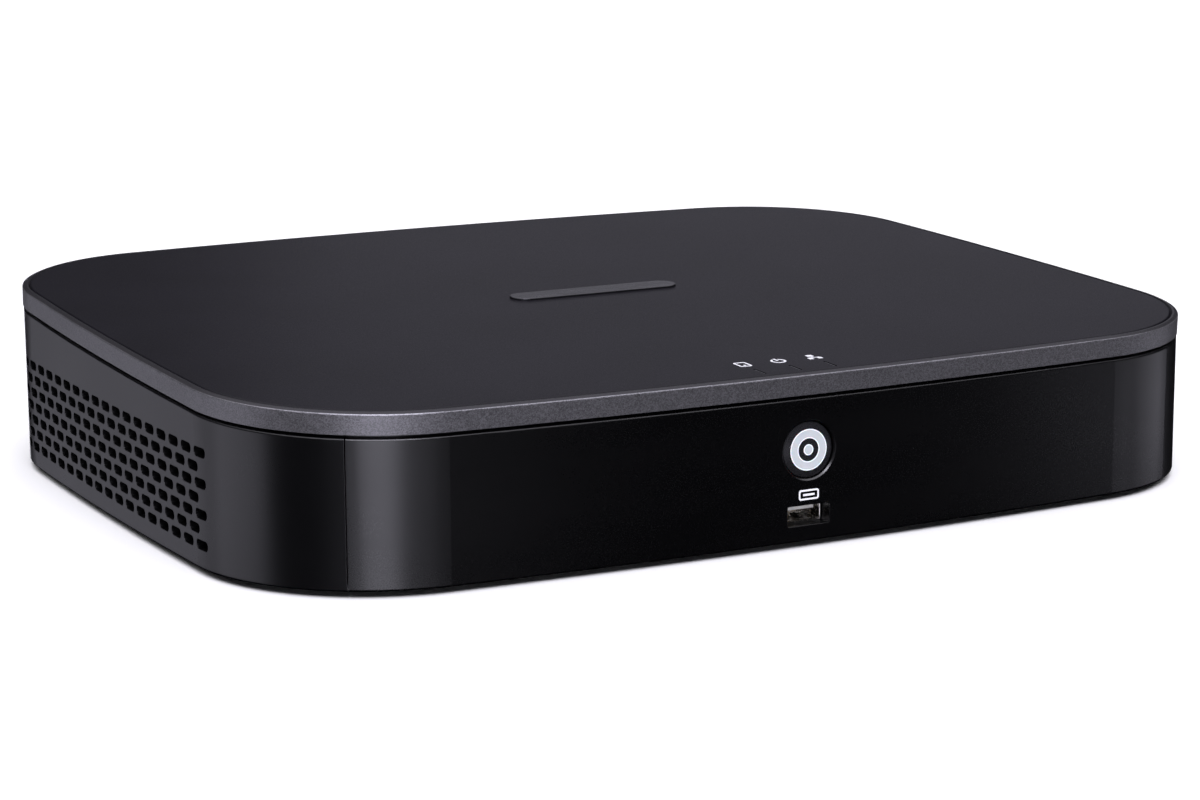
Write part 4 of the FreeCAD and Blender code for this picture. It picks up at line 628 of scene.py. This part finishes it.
def usb_sockets():
    """What shows inside the front and rear USB sockets, set out from the middles of their mouths."""
    low, high = in_mm("usb_shells")
    half = Vector((USB_WIDTH / 2, 0, USB_HEIGHT / 2))
    front, rear = low + half, high - half
    usb_contacts("front_usb_contacts", front, 1)
    usb_springs("front_usb_springs", front, 1)
    usb_lip("front_usb_lip", front)
    usb_contacts("rear_usb_contacts", rear, -1)
    usb_springs("rear_usb_springs", rear, -1)


def network_socket():
    """Eight sprung contacts under the roof of the network socket, and its two lamps."""
    low, high = in_mm("lan_jack")
    middle, mouth, roof = (low.x + high.x) / 2, high.y, high.z - 3.8
    profile = ((2.0, 0.3), (3.6, 0.5), (11.0, 3.4), (12.6, 3.6))
    count, pitch = 8, 1.02
    contacts = []
    for k in range(count):
        across = middle + (k - (count - 1) / 2) * pitch
        path = [(across, mouth - depth, roof - drop) for depth, drop in profile]
        contacts.append(strip(path, (1, 0, 0), 0.45, 0.22))
    piece("network_contacts", contacts, "gold", "case")
    lamps = (("network_lamp_green", -1, (0.03, 0.4, 0.06)), ("network_lamp_amber", 1, (0.6, 0.3, 0.02)))
    for name, side, colour in lamps:
        centre = middle + side * 6.0
        window = bar((centre - 1.4, mouth - 0.6, roof + 1.1), (centre + 1.4, mouth - 0.15, roof + 2.7), 0.12)
        piece(name, [window], "lamp", "case", lens(name, colour).material)


def hdmi_contacts():
    """Nineteen contacts on the two faces of the HDMI tongue."""
    low, high = in_mm("hdmi_port")
    middle, back, front = (low.x + high.x) / 2, high.y - 10.2, high.y - 2.4
    pitch, half_width, half_thick = 1.0, 0.22, 0.07
    contacts = []
    for count, face in ((10, high.z - 1.6), (9, high.z - 2.7)):
        for k in range(count):
            across = middle + (k - (count - 1) / 2) * pitch
            contacts.append(bar((across - half_width, back, face - half_thick),
                                (across + half_width, front, face + half_thick)))
    piece("hdmi_contacts", contacts, "gold", "case")


def chip_legs():
    """Gull-wing legs round the flat chips of the main board."""
    x_axis, y_axis, up = Matrix.Identity(3)
    board_top = in_mm("main_board")[1].z
    profile = ((-0.05, 0.75), (0.35, 0.75), (0.6, 0.1), (1.1, 0.08))
    legs = []
    for x, y, width, length, end_count, side_count in CHIPS:
        centre = Vector((x, y, board_top))
        rows = ((y_axis, x_axis, length, width, end_count), (x_axis, y_axis, width, length, side_count))
        for out, along, depth, run, count in rows:
            for end, k in itertools.product((-1, 1), range(count)):
                foot = centre + along * ((k + 0.5) / count - 0.5) * (run - 1.2)
                path = [foot + out * end * (depth / 2 + away) + up * rise for away, rise in profile]
                legs.append(strip(path, along, 0.34, 0.14))
    piece("chip_legs", legs, "nickel", "case")


def around(node, margin):
    """The middle of a node and its width and length with a margin all round, in millimetres."""
    low, high = in_mm(node)
    middle, size = (low + high) / 2, high - low
    return middle.x, middle.y, size.x + 2 * margin, size.y + 2 * margin


def board_legend():
    """Printed outlines round the larger chips of the main board."""
    board_top = in_mm("main_board")[1].z
    line, ink_top = 0.18, board_top + 0.03
    plain, legged = 2, 4                   # what an outline adds to a chip's size, without and with legs
    outlines = [around("heat_sink", 2)]
    for x, y, width, length, end_count, side_count in CHIPS:
        across = width + (legged if side_count else plain)
        along = length + (legged if end_count else plain)
        outlines.append((x, y, across, along))
    outlines.append(around("coin_cell_holder", 0.4))
    lines = []
    for x, y, width, length in outlines:
        half_x, half_y = width / 2, length / 2
        for end in (-1, 1):
            edge_x, edge_y = x + end * half_x, y + end * half_y
            lines.append(bar((x - half_x, edge_y - line, board_top), (x + half_x, edge_y, ink_top)))
            lines.append(bar((edge_x - line, y - half_y, board_top), (edge_x, y + half_y, ink_top)))
    piece("board_legend", lines, "white_ink", "case")


def labels():
    """Blank labels on the drive, under the base and on the fan's hub."""
    paper = label_paper("label_paper").material
    sheet, corner = 0.08, 0.02
    low, high = in_mm("hdd_cover")
    middle, flat = (low.x + high.x) / 2, high.z - 0.7        # the round over the disc stands 0.7 up
    drive_sheet = bar((middle - 42, 8, flat), (middle + 42, 38, flat + sheet), corner)
    piece("drive_label", [drive_sheet], "white_plastic", "case", paper)
    underside = in_mm("base_plate")[0].z
    base_sheet = bar((-40, -20, underside - sheet), (20, 14, underside), corner)
    piece("rating_label", [base_sheet], "white_plastic", "case", paper)
    low, high = in_mm("fan_rotor")
    hub = (low.x - 0.02, (low.y + high.y) / 2, (low.z + high.z) / 2)
    piece("fan_label", [disc(hub, (1, 0, 0), 8.2, 0.06)], "white_plastic", "fan", paper)


def fine_detail():
    """Every piece that is modelled here."""
    usb_sockets()
    network_socket()
    hdmi_contacts()
    chip_legs()
    board_legend()
    labels()


# ---------------------------------------------------------------- the model
dress_nodes()
fine_detail()
studio()
camera()
bpy.context.scene.view_settings.view_transform = "Standard"
